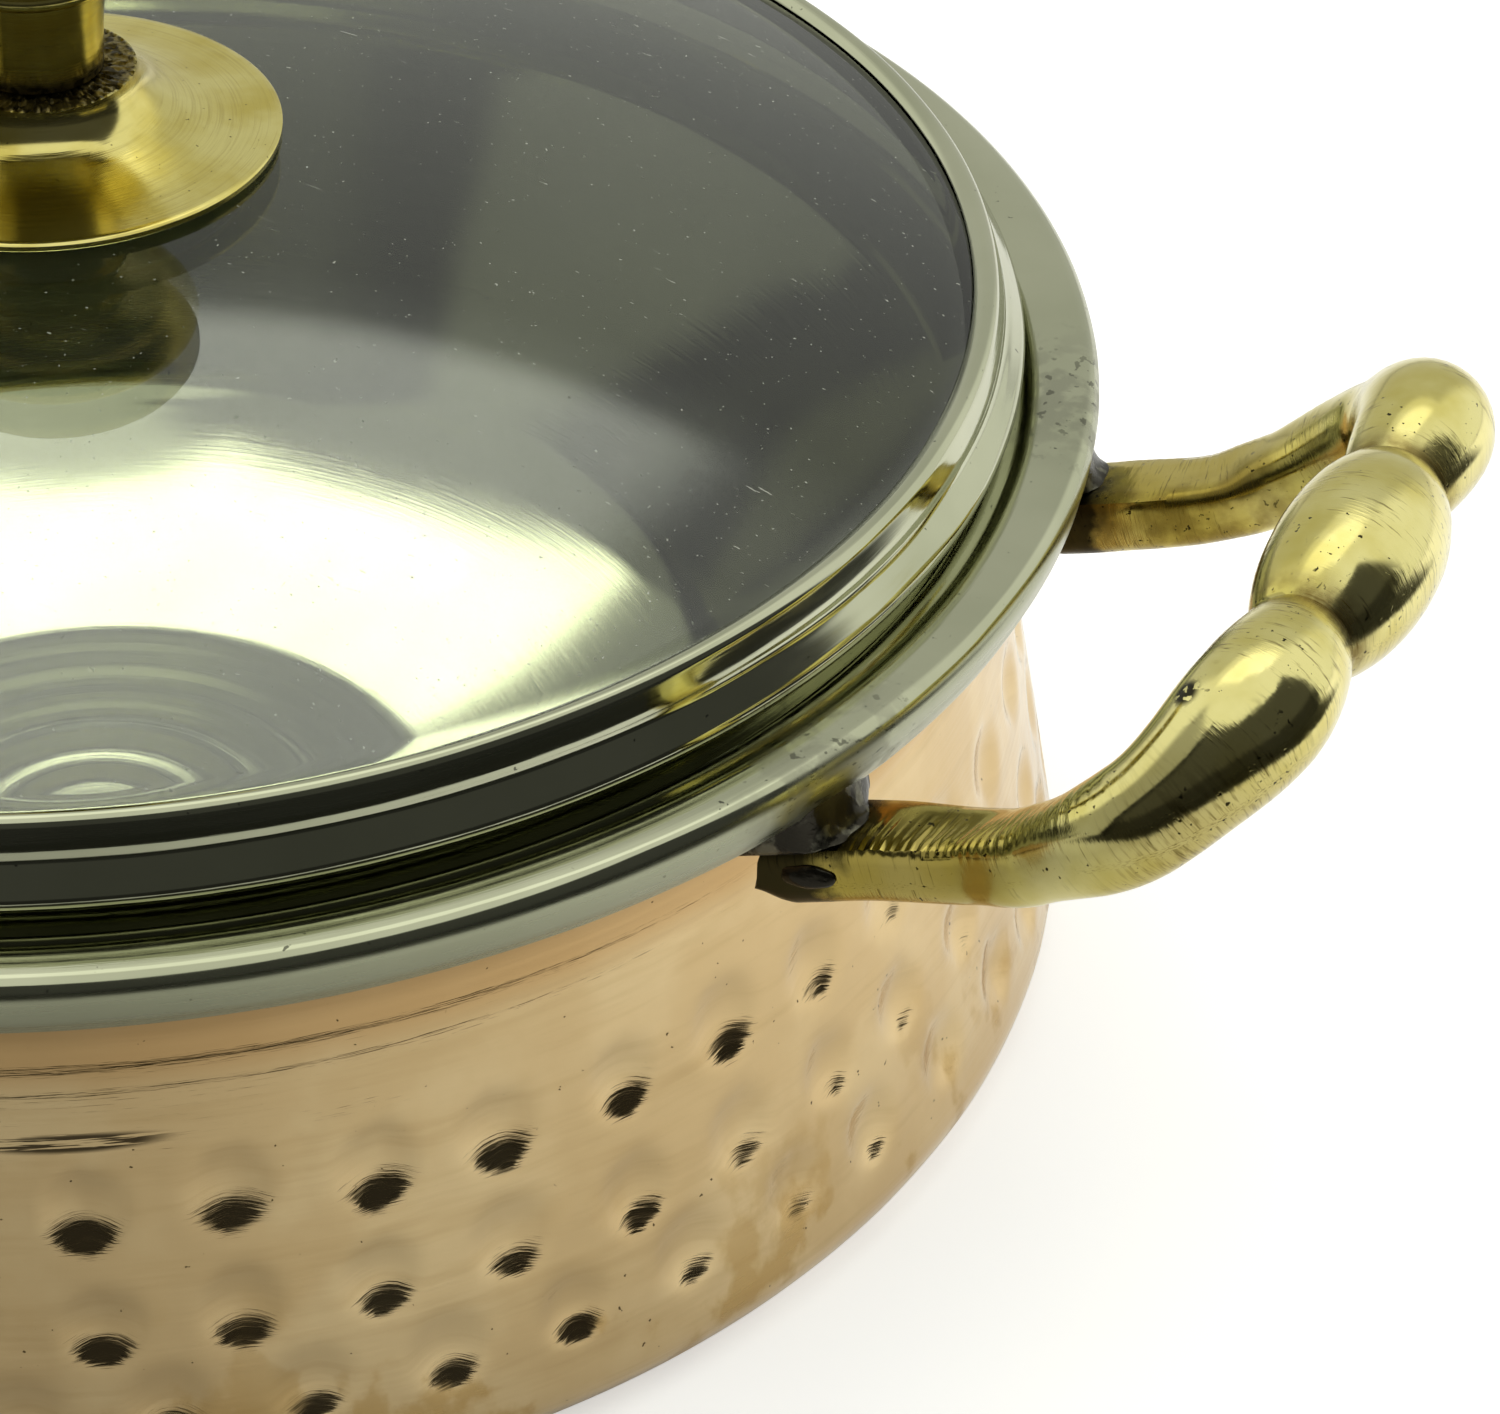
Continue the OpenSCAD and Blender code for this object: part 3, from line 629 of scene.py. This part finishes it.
def make_belly(finish):
    """The copper shell, with hammer marks that are each a little different and deepest low in them,
    and two soft turned lines under the neck."""
    lean = math.atan2(BELLY_R - NECK_R, NECK_Z - BASE_CORNER)
    outer = between((0, 0), (BELLY_R - BASE_CORNER, 0), 10)
    outer += arc(BELLY_R - BASE_CORNER, BASE_CORNER, BASE_CORNER, -90, math.degrees(lean), 10)
    base = len(outer)
    start = outer.pop()
    # The turned lines: where each starts, how tall it is and half its depth
    lines = [(NECK_Z - 4.1, 1.5, 0.02), (NECK_Z - 2.1, 1.8, 0.03)]
    plain_top = lines[0][0] - 0.4
    outer += [(cone_r(z), z) for z, _ in between((start[1], 0), (plain_top, 0), 48)]
    for z, tall, deep in lines:
        outer += [(cone_r(z + tall * t) - deep * (1 - math.cos(TURN * t)), z + tall * t)
                  for t in (i / 8 for i in range(9))]
    flange = len(outer)
    flange_r, flange_rise = RIM_R - 1.1 - STEEL_T - 0.2, 7.7
    outer += [(NECK_R + (flange_r - NECK_R) * (1 - math.cos(a)), NECK_Z + flange_rise * math.sin(a))
              for a in (math.radians(90 * i / 10) for i in range(11))]
    shown = len(outer)
    # The back of the sheet has no marks, so its cone needs only every fourth ring
    coarse = [p for i, p in enumerate(outer) if i < base or i >= flange or i % 4 == 0]
    line = outer + beside(coarse, COPPER_T)[::-1]
    luck = random.Random(5)

    def mark(row, k):
        """Its angle, height and depth, half its width, and how much taller it is than wide."""
        even = math.radians(MARK_TURN) + TURN * (k + ROW_SHIFTS[row]) / MARKS
        return (even + luck.gauss(0, 0.0035), MARK_ROWS[row] + 1.4 + luck.gauss(0, 0.3),
                luck.uniform(0.64, 0.8) + 0.06 * (2 - row), luck.uniform(3.4, 3.8),
                luck.uniform(1.0, 1.12))

    marks = [[mark(row, k) for k in range(MARKS)] for row in range(len(MARK_ROWS))]
    # Between these heights the belly is hammered. Each mark has a raised lip, whose width is given
    # in half widths of the mark.
    lowest, highest = 2, 37
    lip, lip_rise = 0.6, 0.03

    def hammered(angle, r, z, i):
        if i >= shown or z < lowest or z > highest:
            return r, z
        depth = 0.05 * noise.noise(Vector((r * math.cos(angle), r * math.sin(angle), z)) / 9.0)
        for row, shift in enumerate(ROW_SHIFTS):
            k = round((angle - math.radians(MARK_TURN)) / TURN * MARKS - shift) % MARKS
            at, height, deep, wide, tall = marks[row][k]
            turn = ((angle - at + math.pi) % TURN - math.pi) * r / wide
            rise = (z - height) / tall / wide + 0.12 * noise.noise(Vector((turn * 2, k, row)))
            rho = math.hypot(turn, rise)
            if rho < 1:
                depth -= deep * (1 - rho * rho) ** 1.3
            elif rho < 1 + lip:
                depth += lip_rise * math.sin((rho - 1) / lip * math.pi)
        return r + depth * math.cos(lean), z + depth * math.sin(lean)

    belly = turned("copper_belly", line, 784, finish, 60, hammered)
    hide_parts("copper_shell")


def make_bowl(finish):
    """The steel bowl, one sheet from its floor to the rolled rim, turned a little unevenly."""
    floor_z, neck_r, flare_r, roll_r = 3.9, 79.6, 7.1, 1.7
    # The floor's rings of points, where its corner starts to soften, and how far the bend between
    # dish and wall reaches each way
    floor_rings, soft_from, soften = 48, 29.3, 3
    ring_pitch, ring_height = 5.4, 0.05
    flat, dish_end = Vector((31, floor_z)), Vector((59.5, floor_z + 10.1))
    dish_mid = Vector((45.25, floor_z + (45.25 - 31) * math.tan(math.radians(12))))
    wall_top = Vector((neck_r, NECK_Z))
    low = dish_end - soften * (dish_end - dish_mid).normalized()
    high = dish_end + soften * (wall_top - dish_end).normalized()

    def bend(start, middle, end, steps):
        """A soft bend from start towards middle and on to end, without its last point."""
        return [tuple((1 - t) ** 2 * start + 2 * t * (1 - t) * middle + t * t * end)
                for t in (i / steps for i in range(steps))]

    dish = bend(flat, dish_mid, low, 30)
    line = between((0, floor_z), (soft_from, floor_z), floor_rings)
    line += bend(Vector((soft_from, floor_z)), flat, Vector(dish[2]), 8) + dish[2:]
    line += bend(low, dish_end, high, 12)
    line += between(high, wall_top, 20)
    line += between((neck_r, NECK_Z), (neck_r, POT_H - flare_r), 2)
    line += arc(neck_r + flare_r, POT_H - flare_r, flare_r, 180, 90, 16)
    line += arc(RIM_R - roll_r, POT_H - roll_r, roll_r, 90, -10, 12)[1:]
    hem = (RIM_R - 1.1, POT_H - 5.2)
    line += between((RIM_R - 0.35, POT_H - 3.6), hem, 2) + [hem]
    back = beside(line, -STEEL_T)[::-1]

    def uneven(angle, r, z, i):
        """Swells of 0.05 mm everywhere, and rings of the spinning tool on the floor."""
        swell = noise.noise(Vector((r * math.cos(angle), r * math.sin(angle), z * 2)) / 14.0)
        if i < floor_rings:
            z += ring_height * math.sin(TURN * r / ring_pitch) * ease(r, 2, 8) * ease(r, 29, 25)
        return r - 0.05 * abs(swell), z

    bowl = turned("steel_bowl_skin", line + back, 360, finish, 50, uneven)
    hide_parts("steel_bowl")


def glass_top(r):
    """Height of the glass's upper face at a radius."""
    return GLASS_EDGE_Z + math.sqrt(CROWN_R ** 2 - r * r) - math.sqrt(CROWN_R ** 2 - GLASS_R ** 2)


def make_lid(steel, glass):
    """The band rolled over the glass, and the glass."""
    lip = [(LIP_IN_R, glass_top(LIP_IN_R) + 0.1), (LIP_IN_R + 0.1, BAND_TOP - 0.5)]
    lip += arc(LIP_IN_R + 1.2, BAND_TOP - 1, 1, 130, 20, 10)
    wall = smoothed([lip.pop(), (BAND_R - 1.95, BAND_TOP - 2.2), (BAND_R - 1.8, BAND_TOP - 3.2),
                     (BAND_R - 1.1, BAND_TOP - 4.1), (BAND_R - 0.42, BEAD_Z + 0.86)], 5)
    bead = arc(BAND_R - 1.1, BEAD_Z, 1.1, 45, -90, 10)
    ledge_r = LIP_IN_R - 0.8
    rim_z, ledge_z = glass_top(GLASS_R), glass_top(ledge_r)
    under = [(SKIRT_R + 0.2, BEAD_Z - 1.1), (SKIRT_R, BEAD_Z - 1.3), (SKIRT_R, SKIRT_Z),
             (SKIRT_R - 0.6, SKIRT_Z), (SKIRT_R - 0.6, rim_z - GLASS_T - 1.1),
             (ledge_r, ledge_z - GLASS_T - 0.7), (ledge_r, ledge_z - GLASS_T - 0.1),
             (GLASS_R + 0.1, rim_z - GLASS_T - 0.1), (GLASS_R + 0.1, rim_z + 0.1)]

    def uneven(angle, r, z, i):
        way = Vector((math.cos(angle), math.sin(angle), z / 30))
        return r + 0.05 * noise.noise(way * 7), z + 0.05 * noise.noise(way * 6 + Vector((9, 0, 0)))

    band = turned("lid_band_skin", lip + wall + bead[1:] + under, 360, steel, 40, uneven)
    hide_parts("lid_band")
    hole_r = 4
    upper = [(r, glass_top(r))
             for r in (hole_r + (GLASS_R - 0.5 - hole_r) * i / 30 for i in range(31))]
    edge = [(GLASS_R - 0.15, rim_z - 0.15), (GLASS_R, rim_z - 0.6),
            (GLASS_R, rim_z - GLASS_T + 0.6), (GLASS_R - 0.15, rim_z - GLASS_T + 0.1)]
    lower = [(r, z - GLASS_T) for r, z in upper[::-1]]
    dome = turned("lid_dome", upper + edge + lower, 240, glass, 50)
    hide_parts("lid_glass")


def make_knob(finish):
    """The dished foot, torn on top of its boss where the stem stands, and the stem and head."""
    hole_r, pad_t = 2.8, 0.4
    edge_z, dish_depth = BOSS_Z - 5.6, 5.2
    under = [(r, glass_top(r) + pad_t)
             for r in (hole_r + (FOOT_R - hole_r) * i / 10 for i in range(11))]
    under_z = under.pop()[1]
    dish = [(BOSS_R + (FOOT_R - BOSS_R) * (1 - math.sin(a)),
             edge_z + dish_depth * (1 - math.cos(a)))
            for a in (math.radians(90 * i / 24) for i in range(25))]
    dish[0] = (FOOT_R - 0.25, edge_z)
    line = under + [(FOOT_R - 0.1, under_z), (FOOT_R, under_z + 0.1), (FOOT_R, edge_z - 0.2)] + dish
    line += [(BOSS_R, BOSS_Z - 0.15), (BOSS_R - 0.15, BOSS_Z)]
    line += between((BOSS_R - 0.4, BOSS_Z), (STEM_R - 0.3, BOSS_Z), 8)
    line += [(STEM_R - 0.6, BOSS_Z), (hole_r, BOSS_Z)]

    def torn(angle, r, z, i):
        """The top of the boss round the stem, roughened by less than a millimetre."""
        if abs(z - BOSS_Z) > 0.02 or r < STEM_R - 0.5 or r > BOSS_R - 0.1:
            return r, z
        way = Vector((r * math.cos(angle), r * math.sin(angle), 0))
        return r, z - 0.5 * abs(noise.noise(way / 0.9) + 0.6 * noise.noise(way / 0.4))

    foot = turned("knob_foot_dish", line, 320, finish, 40, torn)
    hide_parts("knob_foot")

    stem_z = BOSS_Z + 0.1
    stem_top = BOSS_Z + 10
    head_r, head_h, tip_r = 14.5, 17.0, 3.2
    head_top = stem_top + head_h
    line = [(0, stem_z), (STEM_R, stem_z)]
    line += smoothed([(STEM_R, stem_z), (STEM_R + 0.3, BOSS_Z + 5),
                      (STEM_R + 0.9, stem_top - 1.6)], 6)[1:]
    line += arc(STEM_R + 1.4, stem_top - 0.8, 0.8, -90, 60, 8)
    line += [(head_r * math.cos(a), stem_top + head_h / 2 + head_h / 2 * math.sin(a))
             for a in (math.radians(-50 + 120 * i / 30) for i in range(31))]
    line += [(2.6, head_top - 0.1)] + arc(0, head_top, tip_r, 10, 90, 10)
    line[-1] = (0, line[-1][1])
    head = turned("knob_stem_and_head", line, 192, finish, 40)
    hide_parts("knob_head")


# Handles: stations of the centre line from the grip's middle to a foot, as (out, along, up)
FOOT_END_R = 85.4
FOOT_X = math.sqrt(FOOT_END_R ** 2 - HANDLE_FOOT_Y ** 2)
STATIONS = [Vector(s) for s in (
    (116.44, 0, 67.4), (115.9, 11.3, 66.9), (115.4, 21.8, 66.6), (110.1, 29.1, 60.6),
    (102.19, 28.8, 54.1), (FOOT_X + 15.6, 27.5, 50.9), (FOOT_X + 7.8, HANDLE_FOOT_Y, 48.25),
    (FOOT_X, HANDLE_FOOT_Y, 45.6))]
LAST = len(STATIONS) - 1

# Sections from the end bead, at station 2, to the foot: a squareness of 2 is an oval, and the
# higher it is, the sharper are the corners
HALF_WIDTHS = [5.7, 4.5, 3.8, 3.7, 3.9, 4.1]
HALF_HEIGHTS = [5.7, 4.5, 3.5, 3.0, 3.0, 3.0]
SQUARENESS = [2.0, 2.2, 3.2, 7.0, 9.0, 9.0]
BEAD_R, GROOVE_R = 6.7, 4.2

# File ripples on top of the arms, in millimetres, and how strong they are on the back arm
RIPPLE_PITCH, RIPPLE_DEPTH = 0.95, 0.11
BACK_RIPPLES = 0.12


def eased(values, s):
    """A value that runs smoothly through the list at place s."""
    i = min(int(s), len(values) - 2)
    return values[i] + (values[i + 1] - values[i]) * (1 - math.cos(math.pi * (s - i))) / 2


def half_size(s, values):
    """Half the section's size at place s: three beads, then the arm."""
    if s >= 2:
        return eased(values, s - 2)
    x, big = (s, BEAD_R) if s < 1 else (2 - s, values[0])
    return big * math.sqrt(1 - (1 - (GROOVE_R / big) ** 2) * x * x)


def station(i):
    """A station, mirrored before the first and continued straight past the last."""
    if i < 0:
        return Vector((STATIONS[-i].x, -STATIONS[-i].y, STATIONS[-i].z))
    return 2 * STATIONS[LAST] - STATIONS[LAST - 1] if i > LAST else STATIONS[i]


def centre(s):
    """The handle's centre line at place s."""
    i = min(int(s), LAST - 1)
    return through(*(station(n) for n in range(i - 1, i + 3)), s - i)


def directions(s):
    """The ways ahead, sideways and up at place s of the handle."""
    ahead = (centre(min(s + 0.01, LAST)) - centre(max(s - 0.01, 0))).normalized()
    if s < 0.01:
        ahead = Vector((0, 1, 0))
    side = ahead.cross(Vector((0, 0, 1))).normalized()
    return ahead, side, side.cross(ahead)


def gap_to_neck(spot, ahead):
    """How far ahead of a spot the handle's end meets the round of the neck."""
    flat, slope = Vector((spot.x, spot.y, 0)), Vector((ahead.x, ahead.y, 0))
    p, q, r = slope.dot(slope), flat.dot(slope), flat.dot(flat) - FOOT_END_R ** 2
    return (-q - math.sqrt(q * q - p * r)) / p


def ring_angles(corner):
    """Angles round a section: finest at the two upper corners."""
    side = [corner * i / 4 for i in range(4)]
    top = [corner + (math.pi - 2 * corner) * i / 10 for i in range(10)]
    far_side = [math.pi - corner + corner * i / 4 for i in range(4)]
    return side + top + far_side + [math.pi * (1 + i / 20) for i in range(20)]


def make_handle(name, solid, finish, turn, seed):
    """One cast handle: a swept bar of three beads with file ripples on the flat of its arms."""
    per_span, end_rings = 30, 8
    count = LAST * per_span
    ways = [0.0]
    for j in range(count):
        ways.append(ways[-1] + (centre((j + 1) / per_span) - centre(j / per_span)).length)
    # Each ring as its step from the grip's middle, below 0 on the front arm of the right handle,
    # and how far it goes on from the foot to the neck, from 0 to 1
    ends = [(count, (i + 1) / end_rings) for i in range(end_rings)]
    steps = [(-j, onward) for j, onward in ends[::-1]]
    steps += [(j, 0) for j in range(-count, count + 1)] + ends
    points, rings, lay = [], [], []
    for j, onward in steps:
        hand = -1 if j < 0 else 1
        s = abs(j) / per_span
        way = ways[abs(j)]
        middle = centre(s)
        ahead, side, top = directions(s)
        a, b = half_size(s, HALF_WIDTHS), half_size(s, HALF_HEIGHTS)
        square = 2.0 if s < 2 else eased(SQUARENESS, s - 2)
        patch = noise.noise(Vector((way / 4.0, hand * 3.0, seed)))
        ripple = RIPPLE_DEPTH * math.sin(way * TURN / RIPPLE_PITCH + 2.5 * patch)
        ripple *= max(0.15, 0.6 + patch * 2)
        ring = []
        for f in ring_angles(math.atan2(b, a)):
            # The lower side is rounder than the upper
            power = square if f <= math.pi else min(square, 2.6)
            reach = (abs(math.cos(f)) / a) ** power + (abs(math.sin(f)) / b) ** power
            reach **= -1 / power
            u, v = reach * math.cos(f), reach * math.sin(f)
            spot = middle + u * side + v * top
            filed = ease(s, 2.9, 3.4) * (1 - ease(s, 5.9, 6.5)) * ease(v / b, 0.7, 0.9)
            filed *= ease(u / a, -0.5, 0.5) * (1 if hand < 0 else BACK_RIPPLES)
            strokes = 0.08 * noise.noise(Vector((way / 1.6, u / 3.0, seed + hand)))
            spot += top * filed * (ripple + strokes)
            swell = noise.noise(Vector((spot.x, hand * spot.y, spot.z)) / 5.0)
            spot += (u * side + v * top).normalized() * 0.07 * swell
            if onward:
                spot += ahead * onward * gap_to_neck(spot, ahead)
            if v < 0:
                from_axis = math.hypot(spot.x, spot.y)
                spot -= top * v * 0.8 * ease(from_axis, FOOT_END_R + 2.6, FOOT_END_R - 0.8)
            ring.append(len(points))
            points.append((turn * spot.x, turn * hand * spot.y, spot.z))
            # Brown stain between two beads, and painted shade on the inner side of the back arm
            waist_stain_and_painted_shade = math.exp(-((s - 1) / 0.16) ** 2)
            if hand > 0:
                waist_stain_and_painted_shade += 0.8 * ease(s, 2.6, 4.5) * ease(-u / a, -0.2, 0.9)
            lay += [hand * way, f * (a + b) / 2, waist_stain_and_painted_shade]
        rings.append(ring)
    n = len(rings[0])
    faces = [(low[k], low[(k + 1) % n], high[(k + 1) % n], high[k])
             for low, high in zip(rings, rings[1:]) for k in range(n)]
    faces += [tuple(rings[0][::-1]), tuple(rings[-1])]
    handle = make_piece(name, points, faces, finish, 50)
    handle.data.attributes.new("lay", "FLOAT_VECTOR", "POINT").data.foreach_set("vector", lay)
    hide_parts(solid)


def arm_top(x):
    """Height of the top of a handle's arm near its foot."""
    slope = (STATIONS[LAST - 1].z - STATIONS[LAST].z) / (STATIONS[LAST - 1].x - STATIONS[LAST].x)
    return STATIONS[LAST].z + slope * (x - FOOT_X) + HALF_HEIGHTS[-1] * math.hypot(1, slope)


# The solder's back, buried in the rim's flare: radius and height
BACK_OF_SOLDER = [(81.0, 50.0), (82.8, 51.8), (85.5, 53.5), (88.0, 54.0)]


def make_solder(name, solid, finish, sx, sy):
    """The solder that fills the gap between the rim, the neck and an arm: its outer face is a
    smooth hollow run from under the rim's lip out over the arm, and its two ends are rounded."""
    along, around = 40, 14
    beyond = 0.35
    points = []
    for i in range(along + 1):
        t = -1 + 2 * i / along
        y = HANDLE_FOOT_Y + (HALF_WIDTHS[-1] + beyond) * t

        def at_radius(r):
            return math.sqrt(r * r - y * y)

        # The outer end is blunter than the inner one, and the run reaches further out there
        full = math.sqrt(max(1 - t ** 4, 0.0)) if t > 0 else 1 - t * t
        further = ease(t, -0.8, 0.7)
        wander = noise.noise(Vector((y / 2.1, sx * 5.0, sy * 3.0)))
        over_side = max(abs(y - HANDLE_FOOT_Y) - HALF_WIDTHS[-1] + 0.5, 0)
        edge, inner = at_radius(RIM_R), at_radius(81.3)
        out = edge - 1.2 + (1.5 + 1.2 * further + 0.5 * wander) * full
        high = Vector((edge - 1.3 + 0.5 * further, POT_H - 3.9 + 0.2 * wander))
        low = Vector((out, arm_top(out) - 0.05 - over_side))
        bend = Vector((edge - 0.3, low.y + 0.25))
        section = [(1 - u) ** 2 * high + 2 * u * (1 - u) * bend + u * u * low
                   for u in (k / around for k in range(around + 1))]
        section += [Vector((out - 0.6, low.y - 0.5)),
                    Vector((inner, arm_top(inner) - 0.5 - over_side))]
        section += [Vector((at_radius(r), z)) for r, z in BACK_OF_SOLDER]
        middle = sum(section, Vector((0, 0))) / len(section)
        for p in section:
            p = middle + (p - middle) * max(full, 0.15) ** 0.5
            points.append((sx * p.x, sy * y, p.y))
    n = len(section)
    faces = [(i * n + k, i * n + (k + 1) % n, (i + 1) * n + (k + 1) % n, (i + 1) * n + k)
             for i in range(along) for k in range(n)]
    faces += [tuple(range(n)), tuple(range(along * n + n - 1, along * n - 1, -1))]
    piece = make_piece(name, points, faces, finish, 60)
    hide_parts(solid)


def make_drop(name, finish, sx, sy):
    """A flat drop of solder that ran down on the outer side of a handle's foot and set there."""
    middle = Vector((83.9, HANDLE_FOOT_Y + 4.0, 47.3))
    half_length, half_thickness, half_height, tilt = 2.3, 0.55, 1.1, 0.35
    drop = bmesh.new()
    bmesh.ops.create_icosphere(drop, subdivisions=4, radius=1)
    for v in drop.verts:
        lump = 1 + 0.12 * noise.noise(v.co * 1.4 + Vector((sx, sy, 3)))
        out, thick, up = v.co * lump
        thick *= half_thickness * (1 - 0.35 * up)
        out, up = out * half_length, up * half_height + out * tilt
        v.co = Vector((sx * (middle.x + out), sy * (middle.y + thick), middle.z + up)) * MM
    if sx * sy < 0:
        bmesh.ops.reverse_faces(drop, faces=drop.faces)
    mesh = bpy.data.meshes.new(name)
    drop.to_mesh(mesh)
    drop.free()
    mesh.shade_smooth()
    mesh.materials.append(finish)
    piece = bpy.data.objects.new(name, mesh)
    bpy.context.scene.collection.objects.link(piece)
    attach(piece, "root")


make_camera()
make_table()
make_room()
soft_box("back_box", (-0.35, 0.47, 0.95), 0.75, 2.4)
soft_box("top_box", (0.15, -0.1, 1.1), 0.8, 1.3)
soft_box("right_box", (0.9, 0.6, 0.75), 0.8, 2.4)
make_belly(polished_copper())
make_bowl(polished_steel("polished_steel_rim", True))
make_lid(polished_steel("polished_steel_band", False), tempered_glass())
make_knob(turned_brass())
brass = cast_brass()
make_handle("beaded_handle_right", "handle_right", brass, 1, 2.0)
make_handle("beaded_handle_left", "handle_left", brass, -1, 7.0)
solder = soft_solder()
for side, sx in (("right", 1), ("left", -1)):
    for end, sy in (("back", 1), ("front", -1)):
        solid = "solder_%s_%s" % (side, end)
        make_solder(solid + "_run", solid, solder, sx, sy)
        make_drop("solder_drop_%s_%s" % (side, end), solder, sx, sy)

# The CAD solids that stay as they are
for solid, finish in (
        ("knob_pad", hidden_finish("clear_pad", "#D8D8D0", "#C4C4BC", 0.0, 0.4)),
        ("knob_screw", hidden_finish("plated_screw", "#A4A69E", "#8A8C84", 1.0, 0.25)),
        ("screw_washer", hidden_finish("plated_washer", "#A4A69E", "#8A8C84", 1.0, 0.25)),
        ("glass_washer", hidden_finish("black_rubber", "#2A2A28", "#1C1C1A", 0.0, 0.7))):
    nodes[solid].data.materials.clear()
    nodes[solid].data.materials.append(finish)

bpy.context.scene.view_settings.view_transform = "Standard"
